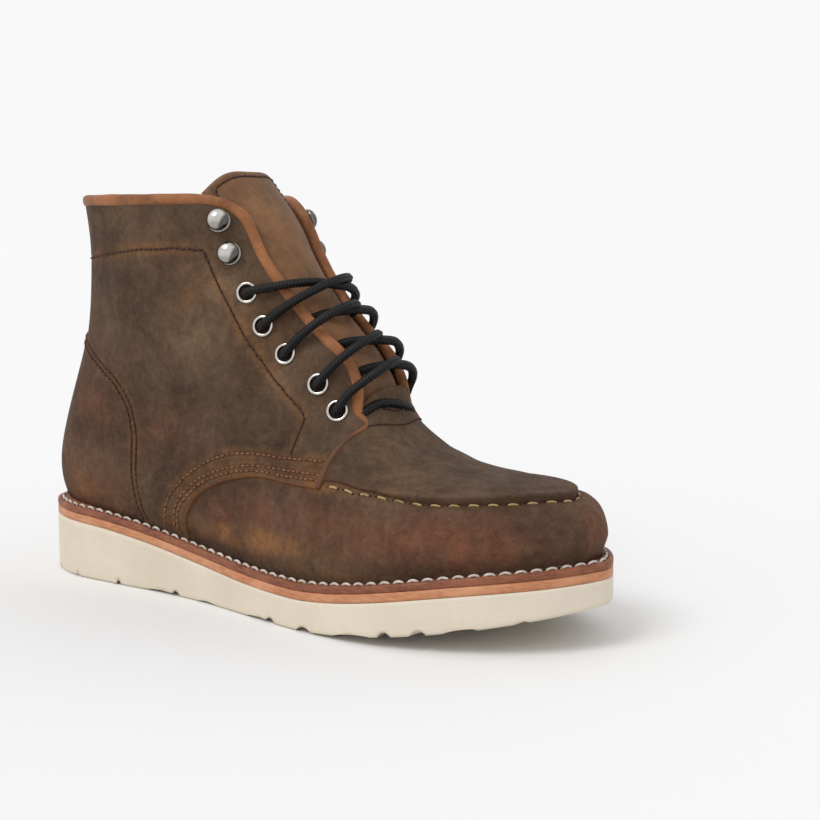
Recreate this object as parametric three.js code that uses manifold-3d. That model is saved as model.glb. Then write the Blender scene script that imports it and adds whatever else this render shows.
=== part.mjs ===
// Six-inch moc-toe lace boot for the right foot, in millimetres.
// +X runs from heel to toe, +Y towards the inner side of the foot and +Z up.
// The sole stands on z = 0, and the shape tables start at the back of the heel.
import * as THREE from 'three';
import { mergeVertices } from 'three/addons/utils/BufferGeometryUtils.js';
import Module from 'manifold-3d';

const wasm = await Module();
wasm.setup();

// Sole sizes
const SOLE_LENGTH = 302;
const HEEL_WIDTH = 74.4;
const BALL_WIDTH = 106;
const HEEL_THICKNESS = 27.4;
const FORE_THICKNESS = 14;
const MIDSOLE_THICKNESS = 3.4;
const WELT_THICKNESS = 3.3;
const INSOLE_THICKNESS = 4;
const TOE_SPRING = 18;
const ROCKER_POWER = 1.48;
const ROCKER_START = 0.6;

// Last and upper sizes, heights above the top of the welt
const INSTEP_RISE = 63;
const SHAFT_RISE = 149;
const WALL = 2.2;
const QUARTER_STEP = 1.6;
const PLUG_STEP = 3.4;
const PLUG_END_STEP = 0.5;
const THROAT_GAP_LOW = 31;
const THROAT_GAP_TOP = 42;
const BINDING_DIAMETER = 4.2;
const BINDING_START = 2;
const TONGUE_THICKNESS = 2.4;
const TONGUE_STAND = 15;
const TONGUE_CLEARANCE = 0.9;
const TONGUE_ROOT = 12;
const TONGUE_BASE = 30;
const TONGUE_TOP = 48;
const TONGUE_DRIFT = 5;

// Lacing sizes
const LACE_DIAMETER = 4.2;
const EYELET_DIAMETER = 9.6;
const EYELET_BORE = 5;
const EYELET_RIM = 1;
const EYELET_SETBACK = 7.4;
const EYELET_BARREL = 0.7;
const HOOK_BASE = 10.6;
const HOOK_HEAD = 9.4;
const HOOK_HEIGHT = 6.6;
const HOOK_NECK = 4.4;
const HOOK_FLANGE = 0.8;

// Tread sizes
const NOTCH_DEPTH = 4;
const SCALLOP_DEPTH = 2.8;

// Clearances and fineness of the facets
const GAP = 0.3;
const FITTING_GAP = 0.5;
const CUT_MARGIN = 10;
const CUT_ABOVE = 40;
const CUT_BELOW = 22;
const OUTLINE_POINTS = 58;
const PROFILE_STATIONS = 19;
const OUTER_MESH = { sections: 28, points: 30 };
const INNER_MESH = { sections: 20, points: 22 };
const TOE_CROWDING = 1.3;
const BINDING_STEPS = 60;
const THROAT_STEPS = 12;
const TONGUE_STEPS = 26;
const STRAND_STEPS = 8;
const BAR_STEPS = 8;
const TUBE_SIDES = 7;
const FITTING_SIDES = 9;

// Sole outline: share of the length, then half widths as shares of the local half width
const OUTLINE = [
  { along: 0.0066, outer: 0.26, inner: 0.266 },
  { along: 0.033, outer: 0.635, inner: 0.64 },
  { along: 0.099, outer: 0.934, inner: 0.931 },
  { along: 0.199, outer: 1.0, inner: 0.997 },
  { along: 0.298, outer: 1.0, inner: 0.957 },
  { along: 0.397, outer: 0.963, inner: 0.866 },
  { along: 0.497, outer: 0.932, inner: 0.813 },
  { along: 0.596, outer: 0.965, inner: 0.868 },
  { along: 0.662, outer: 1.01, inner: 0.943 },
  { along: 0.712, outer: 1.02, inner: 0.981 },
  { along: 0.762, outer: 0.992, inner: 0.99 },
  { along: 0.828, outer: 0.892, inner: 0.934 },
  { along: 0.894, outer: 0.719, inner: 0.785 },
  { along: 0.944, outer: 0.51, inner: 0.579 },
  { along: 0.977, outer: 0.291, inner: 0.336 },
  { along: 0.995, outer: 0.109, inner: 0.13 },
];

// Wedge thickness: 1 is the heel's thickness, 0 is the forefoot's
const WEDGE = [
  { along: 0, thick: 1 },
  { along: 0.2, thick: 0.843 },
  { along: 0.364, thick: 0.321 },
  { along: 0.53, thick: -0.037 },
  { along: 0.695, thick: -0.007 },
  { along: 0.86, thick: 0.03 },
  { along: 1, thick: -0.27 },
];

// Sections of the last, from toe to collar. Each lies in a slanted plane between a point low
// or behind (back) and a point high or in front (front). Places are shares of the sole's
// length. Levels 0 to 1 reach from the seat to the instep, and 1 to 2 on to the collar.
// outer and inner are half widths, waist is where the section is widest, and low and high
// are the powers of its two rounded halves.
const SECTION_COLUMNS = ['back', 'backLevel', 'front', 'frontLevel', 'outer', 'inner', 'waist', 'low', 'high'];
const SECTION_ROWS = [
  [0.983, 0.118, 0.983, 0.175, 0.057, 0.075, 0.50, 2.00, 2.00],
  [0.979, 0.010, 0.979, 0.262, 0.185, 0.213, 0.45, 2.20, 2.20],
  [0.966, -0.102, 0.966, 0.334, 0.322, 0.369, 0.42, 2.40, 2.50],
  [0.947, -0.156, 0.947, 0.387, 0.468, 0.525, 0.40, 2.60, 2.90],
  [0.911, -0.171, 0.911, 0.429, 0.613, 0.675, 0.38, 2.70, 3.10],
  [0.861, -0.193, 0.864, 0.464, 0.774, 0.821, 0.36, 2.70, 3.10],
  [0.795, -0.210, 0.808, 0.520, 0.898, 0.909, 0.34, 2.70, 2.90],
  [0.722, -0.202, 0.762, 0.601, 0.955, 0.921, 0.32, 2.70, 2.70],
  [0.639, -0.196, 0.719, 0.737, 0.951, 0.874, 0.30, 2.70, 2.60],
  [0.550, -0.185, 0.685, 0.880, 0.897, 0.797, 0.29, 2.60, 2.60],
  [0.457, -0.195, 0.662, 1.022, 0.860, 0.770, 0.29, 2.60, 2.50],
  [0.358, -0.220, 0.656, 1.129, 0.869, 0.814, 0.30, 2.50, 2.28],
  [0.248, -0.236, 0.646, 1.232, 0.919, 0.907, 0.32, 2.40, 2.42],
  [0.139, -0.221, 0.631, 1.307, 0.954, 0.954, 0.34, 2.30, 2.70],
  [0.053, -0.153, 0.614, 1.377, 0.935, 0.935, 0.36, 2.25, 2.85],
  [0.015, 0.037, 0.598, 1.439, 0.927, 0.927, 0.37, 2.20, 2.75],
  [0.007, 0.243, 0.581, 1.501, 0.927, 0.927, 0.38, 2.15, 2.65],
  [0.020, 0.529, 0.563, 1.567, 0.935, 0.935, 0.40, 2.10, 2.50],
  [0.048, 0.879, 0.543, 1.643, 0.949, 0.949, 0.43, 2.10, 2.35],
  [0.075, 1.191, 0.522, 1.739, 0.962, 0.962, 0.46, 2.05, 2.20],
  [0.089, 1.483, 0.500, 1.852, 0.981, 0.981, 0.48, 2.05, 2.05],
  [0.092, 1.727, 0.475, 1.985, 1.000, 1.000, 0.50, 2.05, 2.05],
  [0.084, 1.983, 0.440, 2.119, 1.016, 1.016, 0.50, 2.05, 2.05],
  [0.076, 2.238, 0.397, 2.265, 1.032, 1.032, 0.50, 2.05, 2.05],
];
const COLLAR_ROW = SECTION_ROWS.length - 2;

// Lower edge of the quarter over the vamp, seen from the side: share of length, level
const WING = [
  { along: 0.640, level: 1.08 },
  { along: 0.636, level: 0.90 },
  { along: 0.630, level: 0.72 },
  { along: 0.624, level: 0.60 },
  { along: 0.560, level: 0.61 },
  { along: 0.495, level: 0.62 },
  { along: 0.440, level: 0.56 },
  { along: 0.405, level: 0.48 },
  { along: 0.378, level: 0.37 },
  { along: 0.362, level: 0.22 },
  { along: 0.356, level: 0.06 },
];

// Moc seam seen from above: share of length, then y as a share of half the ball width
const MOC_SEAM = [
  { along: 0.645, across: -0.757 },
  { along: 0.685, across: -0.752 },
  { along: 0.728, across: -0.715 },
  { along: 0.781, across: -0.660 },
  { along: 0.825, across: -0.585 },
  { along: 0.868, across: -0.475 },
  { along: 0.904, across: -0.345 },
  { along: 0.930, across: -0.19 },
  { along: 0.944, across: 0.0 },
  { along: 0.936, across: 0.17 },
  { along: 0.913, across: 0.32 },
  { along: 0.868, across: 0.50 },
  { along: 0.825, across: 0.61 },
  { along: 0.781, across: 0.675 },
  { along: 0.728, across: 0.71 },
  { along: 0.685, across: 0.72 },
  { along: 0.645, across: 0.71 },
];

// Cross grooves of the tread: share of the length, width in millimetres and form
const TREAD = [
  { along: 0.050, width: 9, form: 'scallop' },
  { along: 0.135, width: 7, form: 'notch' },
  { along: 0.217, width: 5.5, form: 'notch' },
  { along: 0.300, width: 20, form: 'scallop' },
  { along: 0.343, width: 8, form: 'notch' },
  { along: 0.407, width: 15, form: 'scallop' },
  { along: 0.470, width: 7, form: 'notch' },
  { along: 0.515, width: 12, form: 'scallop' },
  { along: 0.548, width: 9, form: 'notch' },
  { along: 0.622, width: 9, form: 'notch' },
  { along: 0.700, width: 18, form: 'scallop' },
  { along: 0.752, width: 8, form: 'notch' },
  { along: 0.806, width: 8, form: 'notch' },
  { along: 0.861, width: 15, form: 'scallop' },
  { along: 0.925, width: 7, form: 'notch' },
];

// Eyelets and hooks, from the lowest pair up: level on the throat line
const EYELET_LEVELS = [1.07, 1.2, 1.337, 1.466, 1.624];
const HOOK_LEVELS = [1.81, 1.964];

const LEATHER = { color: 0x5a4a3e, roughness: 0.72 };
const TAN_LEATHER = { color: 0x8f6545, roughness: 0.68 };
const WELT_LEATHER = { color: 0x8a4f33, roughness: 0.6 };
const NATURAL_LEATHER = { color: 0xc98f68, roughness: 0.65 };
const CREPE = { color: 0xd5c8b0, roughness: 0.85 };
const NICKEL = { color: 0xc9c6c0, roughness: 0.22, metalness: 1 };
const LACE_CORD = { color: 0x1c1a1b, roughness: 0.8 };

function clamp(value, low, high) {
  return Math.min(high, Math.max(low, value));
}

function smoothstep(value) {
  const s = clamp(value, 0, 1);
  return s * s * (3 - 2 * s);
}

// Natural cubic spline through (xs, ys)
function spline(xs, ys) {
  const n = xs.length;
  const bend = new Array(n).fill(0);
  const weight = new Array(n).fill(0);
  const right = new Array(n).fill(0);
  for (let i = 1; i < n - 1; i++) {
    const h0 = xs[i] - xs[i - 1];
    const h1 = xs[i + 1] - xs[i];
    const slopes = (ys[i + 1] - ys[i]) / h1 - (ys[i] - ys[i - 1]) / h0;
    const pivot = 2 * (h0 + h1) - h0 * weight[i - 1];
    weight[i] = h1 / pivot;
    right[i] = (6 * slopes - h0 * right[i - 1]) / pivot;
  }
  for (let i = n - 2; i > 0; i--) bend[i] = right[i] - weight[i] * bend[i + 1];
  return (x) => {
    let i = 0;
    while (i < n - 2 && x > xs[i + 1]) i++;
    const h = xs[i + 1] - xs[i];
    const b = (x - xs[i]) / h;
    const a = 1 - b;
    const curve = (a * a * a - a) * bend[i] + (b * b * b - b) * bend[i + 1];
    return a * ys[i] + b * ys[i + 1] + (curve * h * h) / 6;
  };
}

// Sole outline and profile
function localHalfWidth(along) {
  return (HEEL_WIDTH + (BALL_WIDTH - HEEL_WIDTH) * smoothstep((along - 0.3) / 0.3)) / 2;
}

function soleOutline() {
  const loop = [new THREE.Vector3(0, 0, 0)];
  for (const row of OUTLINE) {
    loop.push(new THREE.Vector3(row.along * SOLE_LENGTH, -row.outer * localHalfWidth(row.along), 0));
  }
  loop.push(new THREE.Vector3(SOLE_LENGTH, 0, 0));
  for (const row of [...OUTLINE].reverse()) {
    loop.push(new THREE.Vector3(row.along * SOLE_LENGTH, row.inner * localHalfWidth(row.along), 0));
  }
  const curve = new THREE.CatmullRomCurve3(loop, true, 'centripetal');
  return curve.getSpacedPoints(OUTLINE_POINTS).slice(0, -1).map((p) => new THREE.Vector2(p.x, p.y));
}

const wedgeShare = spline(WEDGE.map((row) => row.along), WEDGE.map((row) => row.thick));

function soleBottom(x) {
  const reach = Math.max(0, (x / SOLE_LENGTH - ROCKER_START) / (1 - ROCKER_START));
  return TOE_SPRING * reach ** ROCKER_POWER;
}

function crepeTop(x) {
  const share = wedgeShare(clamp(x / SOLE_LENGTH, 0, 1));
  return soleBottom(x) + FORE_THICKNESS + (HEEL_THICKNESS - FORE_THICKNESS) * share;
}

const midsoleTop = (x) => crepeTop(x) + GAP + MIDSOLE_THICKNESS;
const weltTop = (x) => midsoleTop(x) + GAP + WELT_THICKNESS;

// Solids and meshes
function toSolid(geometry) {
  const bare = geometry.index ? geometry.toNonIndexed() : geometry.clone();
  bare.deleteAttribute('normal');
  bare.deleteAttribute('uv');
  const merged = mergeVertices(bare, 1e-4);
  return new wasm.Manifold(new wasm.Mesh({
    numProp: 3,
    vertProperties: new Float32Array(merged.attributes.position.array),
    triVerts: new Uint32Array(merged.index.array),
  }));
}

function toGeometry(solid) {
  const mesh = solid.getMesh();
  const geometry = new THREE.BufferGeometry();
  geometry.setAttribute('position', new THREE.BufferAttribute(new Float32Array(mesh.vertProperties), 3));
  geometry.setIndex(new THREE.BufferAttribute(new Uint32Array(mesh.triVerts), 1));
  geometry.computeVertexNormals();
  return geometry;
}

// Closed solid through rings of points, with a flat or fanned cap on each end
function loft(rings) {
  const count = rings[0].length;
  const points = rings.flat();
  const faces = [];
  for (let i = 0; i < rings.length - 1; i++) {
    for (let j = 0; j < count; j++) {
      const k = (j + 1) % count;
      const a = i * count + j;
      const b = i * count + k;
      faces.push(a, b, b + count, a, b + count, a + count);
    }
  }
  for (const [row, flip] of [[0, true], [rings.length - 1, false]]) {
    const centre = new THREE.Vector3();
    for (const p of rings[row]) centre.addScaledVector(p, 1 / count);
    points.push(centre);
    for (let j = 0; j < count; j++) {
      const a = row * count + j;
      const b = row * count + ((j + 1) % count);
      faces.push(points.length - 1, flip ? b : a, flip ? a : b);
    }
  }
  const geometry = new THREE.BufferGeometry().setFromPoints(points);
  geometry.setIndex(faces);
  const volume = signedVolume(points, faces);
  if (volume < 0) geometry.setIndex(faces.reverse());
  return toSolid(geometry);
}

function signedVolume(points, faces) {
  let sum = 0;
  for (let i = 0; i < faces.length; i += 3) {
    const [a, b, c] = [points[faces[i]], points[faces[i + 1]], points[faces[i + 2]]];
    sum += a.dot(new THREE.Vector3().crossVectors(b, c));
  }
  return sum;
}

function standingPrism(outline, low, high) {
  const geometry = new THREE.ExtrudeGeometry(new THREE.Shape(outline), { depth: high - low, bevelEnabled: false });
  geometry.translate(0, 0, low);
  return toSolid(geometry);
}

// Prism across the boot with an outline drawn in the side view (x, z)
function crossPrism(outline, halfWidth) {
  const geometry = new THREE.ExtrudeGeometry(new THREE.Shape(outline), { depth: 2 * halfWidth, bevelEnabled: false });
  geometry.translate(0, 0, -halfWidth);
  geometry.rotateX(Math.PI / 2);
  return toSolid(geometry);
}

// Slab between two heights that follow the sole's profile
function profileSlab(lower, upper) {
  const rings = [];
  for (let i = 0; i <= PROFILE_STATIONS; i++) {
    const x = -CUT_MARGIN + ((SOLE_LENGTH + 2 * CUT_MARGIN) * i) / PROFILE_STATIONS;
    const half = BALL_WIDTH;
    rings.push([
      new THREE.Vector3(x, -half, lower(x)),
      new THREE.Vector3(x, half, lower(x)),
      new THREE.Vector3(x, half, upper(x)),
      new THREE.Vector3(x, -half, upper(x)),
    ]);
  }
  return loft(rings);
}

function tube(points, diameter, steps, sides = TUBE_SIDES) {
  const section = [];
  for (let i = 0; i < sides; i++) {
    const angle = (2 * Math.PI * i) / sides;
    section.push(new THREE.Vector2(Math.cos(angle) * diameter / 2, Math.sin(angle) * diameter / 2));
  }
  const path = new THREE.CatmullRomCurve3(points, false, 'centripetal');
  return new THREE.ExtrudeGeometry(new THREE.Shape(section), { steps, extrudePath: path, bevelEnabled: false });
}

// Last surface
function heightAt(along, level) {
  const above = level <= 1 ? level * INSTEP_RISE : INSTEP_RISE + (level - 1) * (SHAFT_RISE - INSTEP_RISE);
  return weltTop(along * SOLE_LENGTH) + above;
}

const SECTIONS_TABLE = SECTION_ROWS.map((values) => {
  const row = Object.fromEntries(SECTION_COLUMNS.map((name, i) => [name, values[i]]));
  const half = localHalfWidth(row.back + row.waist * (row.front - row.back));
  return {
    bx: row.back * SOLE_LENGTH,
    bz: heightAt(row.back, row.backLevel),
    fx: row.front * SOLE_LENGTH,
    fz: heightAt(row.front, row.frontLevel),
    outer: row.outer * half,
    inner: row.inner * half,
    waist: row.waist,
    low: row.low,
    high: row.high,
  };
});

const SECTION_PLACES = [0];
for (let i = 1; i < SECTIONS_TABLE.length; i++) {
  const [a, b] = [SECTIONS_TABLE[i - 1], SECTIONS_TABLE[i]];
  const backStep = Math.hypot(b.bx - a.bx, b.bz - a.bz);
  const frontStep = Math.hypot(b.fx - a.fx, b.fz - a.fz);
  SECTION_PLACES.push(SECTION_PLACES[i - 1] + (backStep + frontStep) / 2);
}

const sectionCurves = Object.fromEntries(Object.keys(SECTIONS_TABLE[0]).map((key) => [
  key,
  spline(SECTION_PLACES, SECTIONS_TABLE.map((row) => row[key])),
]));

function sectionAt(place) {
  return Object.fromEntries(Object.entries(sectionCurves).map(([key, curve]) => [key, curve(place)]));
}

// Point of the last at a place along it and an angle round its section, 0 at the back point
function lastPoint(place, angle) {
  const s = sectionAt(place);
  const c = Math.cos(angle);
  const power = 2 / (c > 0 ? s.low : s.high);
  const climb = Math.abs(c) ** power;
  const share = c > 0 ? s.waist * (1 - climb) : s.waist + (1 - s.waist) * climb;
  const side = Math.sin(angle);
  const y = Math.sign(side) * Math.abs(side) ** power * (side < 0 ? s.outer : s.inner);
  return new THREE.Vector3(s.bx + (s.fx - s.bx) * share, y, s.bz + (s.fz - s.bz) * share);
}

function lastNormal(place, angle) {
  const step = 0.01;
  const end = SECTION_PLACES.at(-1);
  const [p0, p1] = [Math.max(0, place - 1), Math.min(end, place + 1)];
  const along = lastPoint(p1, angle).sub(lastPoint(p0, angle));
  const round = lastPoint(place, angle + step).sub(lastPoint(place, angle - step));
  const normal = along.cross(round).normalize();
  const s = sectionAt(place);
  const middle = new THREE.Vector3((s.bx + s.fx) / 2, 0, (s.bz + s.fz) / 2);
  if (normal.dot(lastPoint(place, angle).sub(middle)) < 0) normal.negate();
  return normal;
}

// Angle of the point on the front half of a section that lies at a given y
function frontAngle(place, y) {
  const s = sectionAt(place);
  const sine = clamp(Math.abs(y) / (y < 0 ? s.outer : s.inner), 0, 1) ** (s.high / 2);
  return Math.PI - Math.sign(y) * Math.asin(sine);
}

function frontPoint(place, y, lift = 0) {
  const angle = frontAngle(place, y);
  return lastPoint(place, angle).addScaledVector(lastNormal(place, angle), lift);
}

// Place along the last where its front line reaches a level above the seat
function placeOfLevel(level, y) {
  let [low, high] = [SECTION_PLACES[6], SECTION_PLACES.at(-1)];
  for (let i = 0; i < 40; i++) {
    const place = (low + high) / 2;
    const p = frontPoint(place, y);
    if (p.z > heightAt(p.x / SOLE_LENGTH, level)) high = place;
    else low = place;
  }
  return (low + high) / 2;
}

// Solid of the last, grown outwards by an offset that may change along it. Its sections crowd
// towards the toe, where the surface turns fastest.
function lastSolid(offset, mesh = OUTER_MESH) {
  const grow = typeof offset === 'number' ? () => offset : offset;
  const rings = [];
  for (let i = 0; i <= mesh.sections; i++) {
    const place = SECTION_PLACES.at(-1) * (i / mesh.sections) ** TOE_CROWDING;
    const ring = [];
    for (let j = 0; j < mesh.points; j++) {
      const angle = (2 * Math.PI * j) / mesh.points;
      const p = lastPoint(place, angle);
      ring.push(p.clone().addScaledVector(lastNormal(place, angle), grow(p)));
    }
    rings.push(ring);
  }
  return loft(rings);
}

// Sole pieces
const outlinePrism = standingPrism(soleOutline(), -CUT_MARGIN, HEEL_THICKNESS + TOE_SPRING + SHAFT_RISE);

function troughPrism(x, width, depth) {
  const sides = 6;
  const outline = [new THREE.Vector2(x + width / 2, -CUT_MARGIN), new THREE.Vector2(x + width / 2, 0)];
  for (let i = 1; i < sides; i++) {
    const angle = (Math.PI * i) / sides;
    outline.push(new THREE.Vector2(x + (Math.cos(angle) * width) / 2, Math.sin(angle) * depth));
  }
  outline.push(new THREE.Vector2(x - width / 2, 0), new THREE.Vector2(x - width / 2, -CUT_MARGIN));
  const lift = soleBottom(x);
  return crossPrism(outline.map((p) => new THREE.Vector2(p.x, p.y + lift)), BALL_WIDTH);
}

function makeOutsole() {
  let body = outlinePrism.intersect(profileSlab(soleBottom, crepeTop));
  for (const row of TREAD) {
    const depth = row.form === 'notch' ? NOTCH_DEPTH : SCALLOP_DEPTH;
    body = body.subtract(troughPrism(row.along * SOLE_LENGTH, row.width, depth));
  }
  return body;
}

function makeMidsole() {
  return outlinePrism.intersect(profileSlab((x) => crepeTop(x) + GAP, midsoleTop));
}

function makeWelt() {
  const strip = outlinePrism.intersect(profileSlab((x) => midsoleTop(x) + GAP, weltTop));
  return strip.subtract(upperForm(GAP));
}

function makeInsole() {
  const slab = profileSlab((x) => midsoleTop(x) + GAP, (x) => midsoleTop(x) + GAP + INSOLE_THICKNESS);
  return lastSolid(-WALL - GAP, INNER_MESH).intersect(slab);
}

// Quarter region, seen from the side, with the wing's curve as its lower front edge
function quarterPrism(clear) {
  const edge = WING.map((row) => new THREE.Vector3(row.along * SOLE_LENGTH, heightAt(row.along, row.level), 0));
  const curve = new THREE.CatmullRomCurve3(edge, false, 'centripetal').getSpacedPoints(28);
  const outline = curve.map((p) => new THREE.Vector2(p.x + clear, p.y - clear));
  const last = outline.at(-1);
  const top = heightAt(0, 3);
  outline.push(new THREE.Vector2(last.x, -CUT_MARGIN), new THREE.Vector2(-CUT_MARGIN, -CUT_MARGIN), new THREE.Vector2(-CUT_MARGIN, top));
  outline.push(new THREE.Vector2(outline[0].x, top));
  return crossPrism(outline, BALL_WIDTH);
}

// Plug region, seen from above, inside the moc seam
function plugPrism() {
  const seam = MOC_SEAM.map((row) => new THREE.Vector3(row.along * SOLE_LENGTH, row.across * BALL_WIDTH / 2, 0));
  const curve = new THREE.CatmullRomCurve3(seam, false, 'centripetal').getSpacedPoints(34);
  const low = heightAt(0.8, 0.25);
  return standingPrism(curve.map((p) => new THREE.Vector2(p.x, p.y)), low, low + SHAFT_RISE);
}

// The plug's lip stands highest round the toe and runs out under the quarters
function plugLift(p) {
  const share = smoothstep((p.x / SOLE_LENGTH - 0.62) / 0.2);
  return PLUG_END_STEP + (PLUG_STEP - PLUG_END_STEP) * share;
}

// Outside of the upper: vamp, quarters lying over it and the raised plug
function upperForm(clear) {
  const vamp = lastSolid(clear);
  const quarters = lastSolid(QUARTER_STEP + clear).intersect(quarterPrism(clear));
  const plug = lastSolid((p) => plugLift(p) + clear).intersect(plugPrism());
  return vamp.add(quarters).add(plug);
}

// Throat between the facings
const throatBase = placeOfLevel(0.97, THROAT_GAP_LOW / 2);
const collarPlace = SECTION_PLACES[COLLAR_ROW];

function throatHalf(place) {
  const share = clamp((place - throatBase) / (collarPlace - throatBase), 0, 1);
  return (THROAT_GAP_LOW + (THROAT_GAP_TOP - THROAT_GAP_LOW) * share) / 2;
}

// Block that follows the front line between two y limits given as functions of place
function frontBlock(from, to, steps, outerSide, innerSide, above, below) {
  const rings = [];
  for (let i = 0; i <= steps; i++) {
    const place = from + ((to - from) * i) / steps;
    const s = sectionAt(place);
    const out = new THREE.Vector3(s.fx - s.bx, 0, s.fz - s.bz).normalize();
    const edge = frontPoint(place, throatHalf(place));
    edge.y = 0;
    const high = edge.clone().addScaledVector(out, above);
    const low = edge.clone().addScaledVector(out, -below);
    const [y0, y1] = [outerSide(place), innerSide(place)];
    rings.push([
      new THREE.Vector3(high.x, y0, high.z),
      new THREE.Vector3(high.x, y1, high.z),
      new THREE.Vector3(low.x, y1, low.z),
      new THREE.Vector3(low.x, y0, low.z),
    ]);
  }
  return loft(rings);
}

function throatCutter() {
  const half = (place) => throatHalf(place) + BINDING_DIAMETER + GAP;
  return frontBlock(throatBase, SECTION_PLACES.at(-1), THROAT_STEPS, (t) => -half(t), half, CUT_ABOVE, CUT_BELOW);
}

// Everything above the collar's edge, less the height of the binding
function collarCutter() {
  const s = sectionAt(collarPlace);
  const drop = BINDING_DIAMETER + GAP;
  const along = new THREE.Vector3(s.fx - s.bx, 0, s.fz - s.bz).normalize();
  const up = new THREE.Vector3(-along.z, 0, along.x);
  const rings = [];
  for (const rise of [-drop, SHAFT_RISE]) {
    const back = new THREE.Vector3(s.bx, 0, s.bz).addScaledVector(along, -BALL_WIDTH / 2).addScaledVector(up, rise);
    const front = new THREE.Vector3(s.fx, 0, s.fz).addScaledVector(along, BALL_WIDTH / 2).addScaledVector(up, rise);
    rings.push([
      new THREE.Vector3(back.x, -BALL_WIDTH, back.z),
      new THREE.Vector3(front.x, -BALL_WIDTH, front.z),
      new THREE.Vector3(front.x, BALL_WIDTH, front.z),
      new THREE.Vector3(back.x, BALL_WIDTH, back.z),
    ]);
  }
  return loft(rings);
}

// Rolled binding along the lower facing, round the collar and down the other facing
function bindingPath() {
  const radius = BINDING_DIAMETER / 2;
  const facing = (side) => {
    const points = [];
    const steps = 9;
    const top = collarPlace - 3 * BINDING_DIAMETER;
    for (let i = 0; i <= steps; i++) {
      const place = throatBase + BINDING_START + ((top - throatBase - BINDING_START) * i) / steps;
      points.push(frontPoint(place, side * (throatHalf(place) + radius), (QUARTER_STEP - WALL) / 2));
    }
    return points;
  };
  const collar = [];
  const start = frontAngle(collarPlace, -(THROAT_GAP_TOP / 2 + 3 * radius));
  const end = frontAngle(collarPlace, THROAT_GAP_TOP / 2 + 3 * radius) + 2 * Math.PI;
  const steps = 26;
  for (let i = 0; i <= steps; i++) {
    const angle = start + ((end - start) * i) / steps;
    const p = lastPoint(collarPlace, angle);
    p.addScaledVector(lastNormal(collarPlace, angle), (QUARTER_STEP - WALL) / 2);
    p.z -= radius;
    collar.push(p);
  }
  return [...facing(-1), ...collar, ...facing(1).reverse()];
}

function makeBinding() {
  return toSolid(tube(bindingPath(), BINDING_DIAMETER, BINDING_STEPS));
}

// Eyelets and hooks sit on the facings, square to the leather
function facingSeat(level, side) {
  const guess = placeOfLevel(level, side * (THROAT_GAP_LOW / 2 + EYELET_SETBACK));
  const y = side * (throatHalf(guess) + EYELET_SETBACK);
  const place = placeOfLevel(level, y);
  const angle = frontAngle(place, y);
  const normal = lastNormal(place, angle);
  const point = lastPoint(place, angle).addScaledVector(normal, QUARTER_STEP);
  return { place, y, normal, point };
}

function boreCutter(seat) {
  const radius = EYELET_BORE / 2 + EYELET_BARREL + GAP;
  const depth = 4 * (WALL + QUARTER_STEP);
  const rod = new THREE.CylinderGeometry(radius, radius, depth, FITTING_SIDES);
  rod.applyQuaternion(new THREE.Quaternion().setFromUnitVectors(new THREE.Vector3(0, 1, 0), seat.normal));
  rod.translate(seat.point.x, seat.point.y, seat.point.z);
  return toSolid(rod);
}

function makeUpper(seats) {
  const inside = lastSolid(-WALL, INNER_MESH);
  const below = profileSlab(() => -SHAFT_RISE, (x) => midsoleTop(x) + GAP);
  let body = upperForm(0).subtract(inside).subtract(below).subtract(throatCutter()).subtract(collarCutter());
  body = body.subtract(toSolid(tube(bindingPath(), BINDING_DIAMETER + GAP, BINDING_STEPS)));
  for (const seat of seats) body = body.subtract(boreCutter(seat));
  return largestPiece(body);
}

function largestPiece(body) {
  return body.decompose().sort((a, b) => b.volume() - a.volume())[0];
}

// Tongue: a shell just inside the wall, wider to the outer side, round at the top
function makeTongue() {
  const face = -WALL - TONGUE_CLEARANCE;
  const skin = lastSolid(face, INNER_MESH).subtract(lastSolid(face - TONGUE_THICKNESS, INNER_MESH));
  const from = throatBase - TONGUE_ROOT;
  const to = collarPlace + TONGUE_STAND;
  const narrow = (place, rounding) => {
    const reach = clamp((place - (to - rounding)) / rounding, 0, 1);
    return 1 - Math.sqrt(1 - reach * reach);
  };
  const share = (place) => clamp((place - from) / (to - from), 0, 1);
  const outerSide = (place) => -(TONGUE_BASE + (TONGUE_TOP - TONGUE_BASE) * share(place)) / 2 - TONGUE_DRIFT
    + TONGUE_TOP * 0.6 * narrow(place, 2 * TONGUE_STAND);
  const innerSide = (place) => (TONGUE_BASE + (TONGUE_TOP - TONGUE_BASE) * share(place)) / 2 - TONGUE_DRIFT
    - TONGUE_TOP * 0.2 * narrow(place, TONGUE_STAND / 2);
  const block = frontBlock(from, to, TONGUE_STEPS, outerSide, innerSide, CUT_ABOVE, CUT_BELOW);
  return largestPiece(skin.intersect(block));
}

function eyeletGeometry() {
  const [bore, barrel, rim] = [EYELET_BORE / 2, EYELET_BORE / 2 + EYELET_BARREL, EYELET_DIAMETER / 2];
  const deep = -WALL - QUARTER_STEP - GAP;
  const profile = [
    [bore, deep], [barrel, deep], [barrel, 0], [rim, 0],
    [rim - EYELET_RIM * 0.8, EYELET_RIM], [bore, EYELET_RIM * 0.6], [bore, deep],
  ];
  return new THREE.LatheGeometry(profile.map(([x, y]) => new THREE.Vector2(x, y)), FITTING_SIDES);
}

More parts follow.
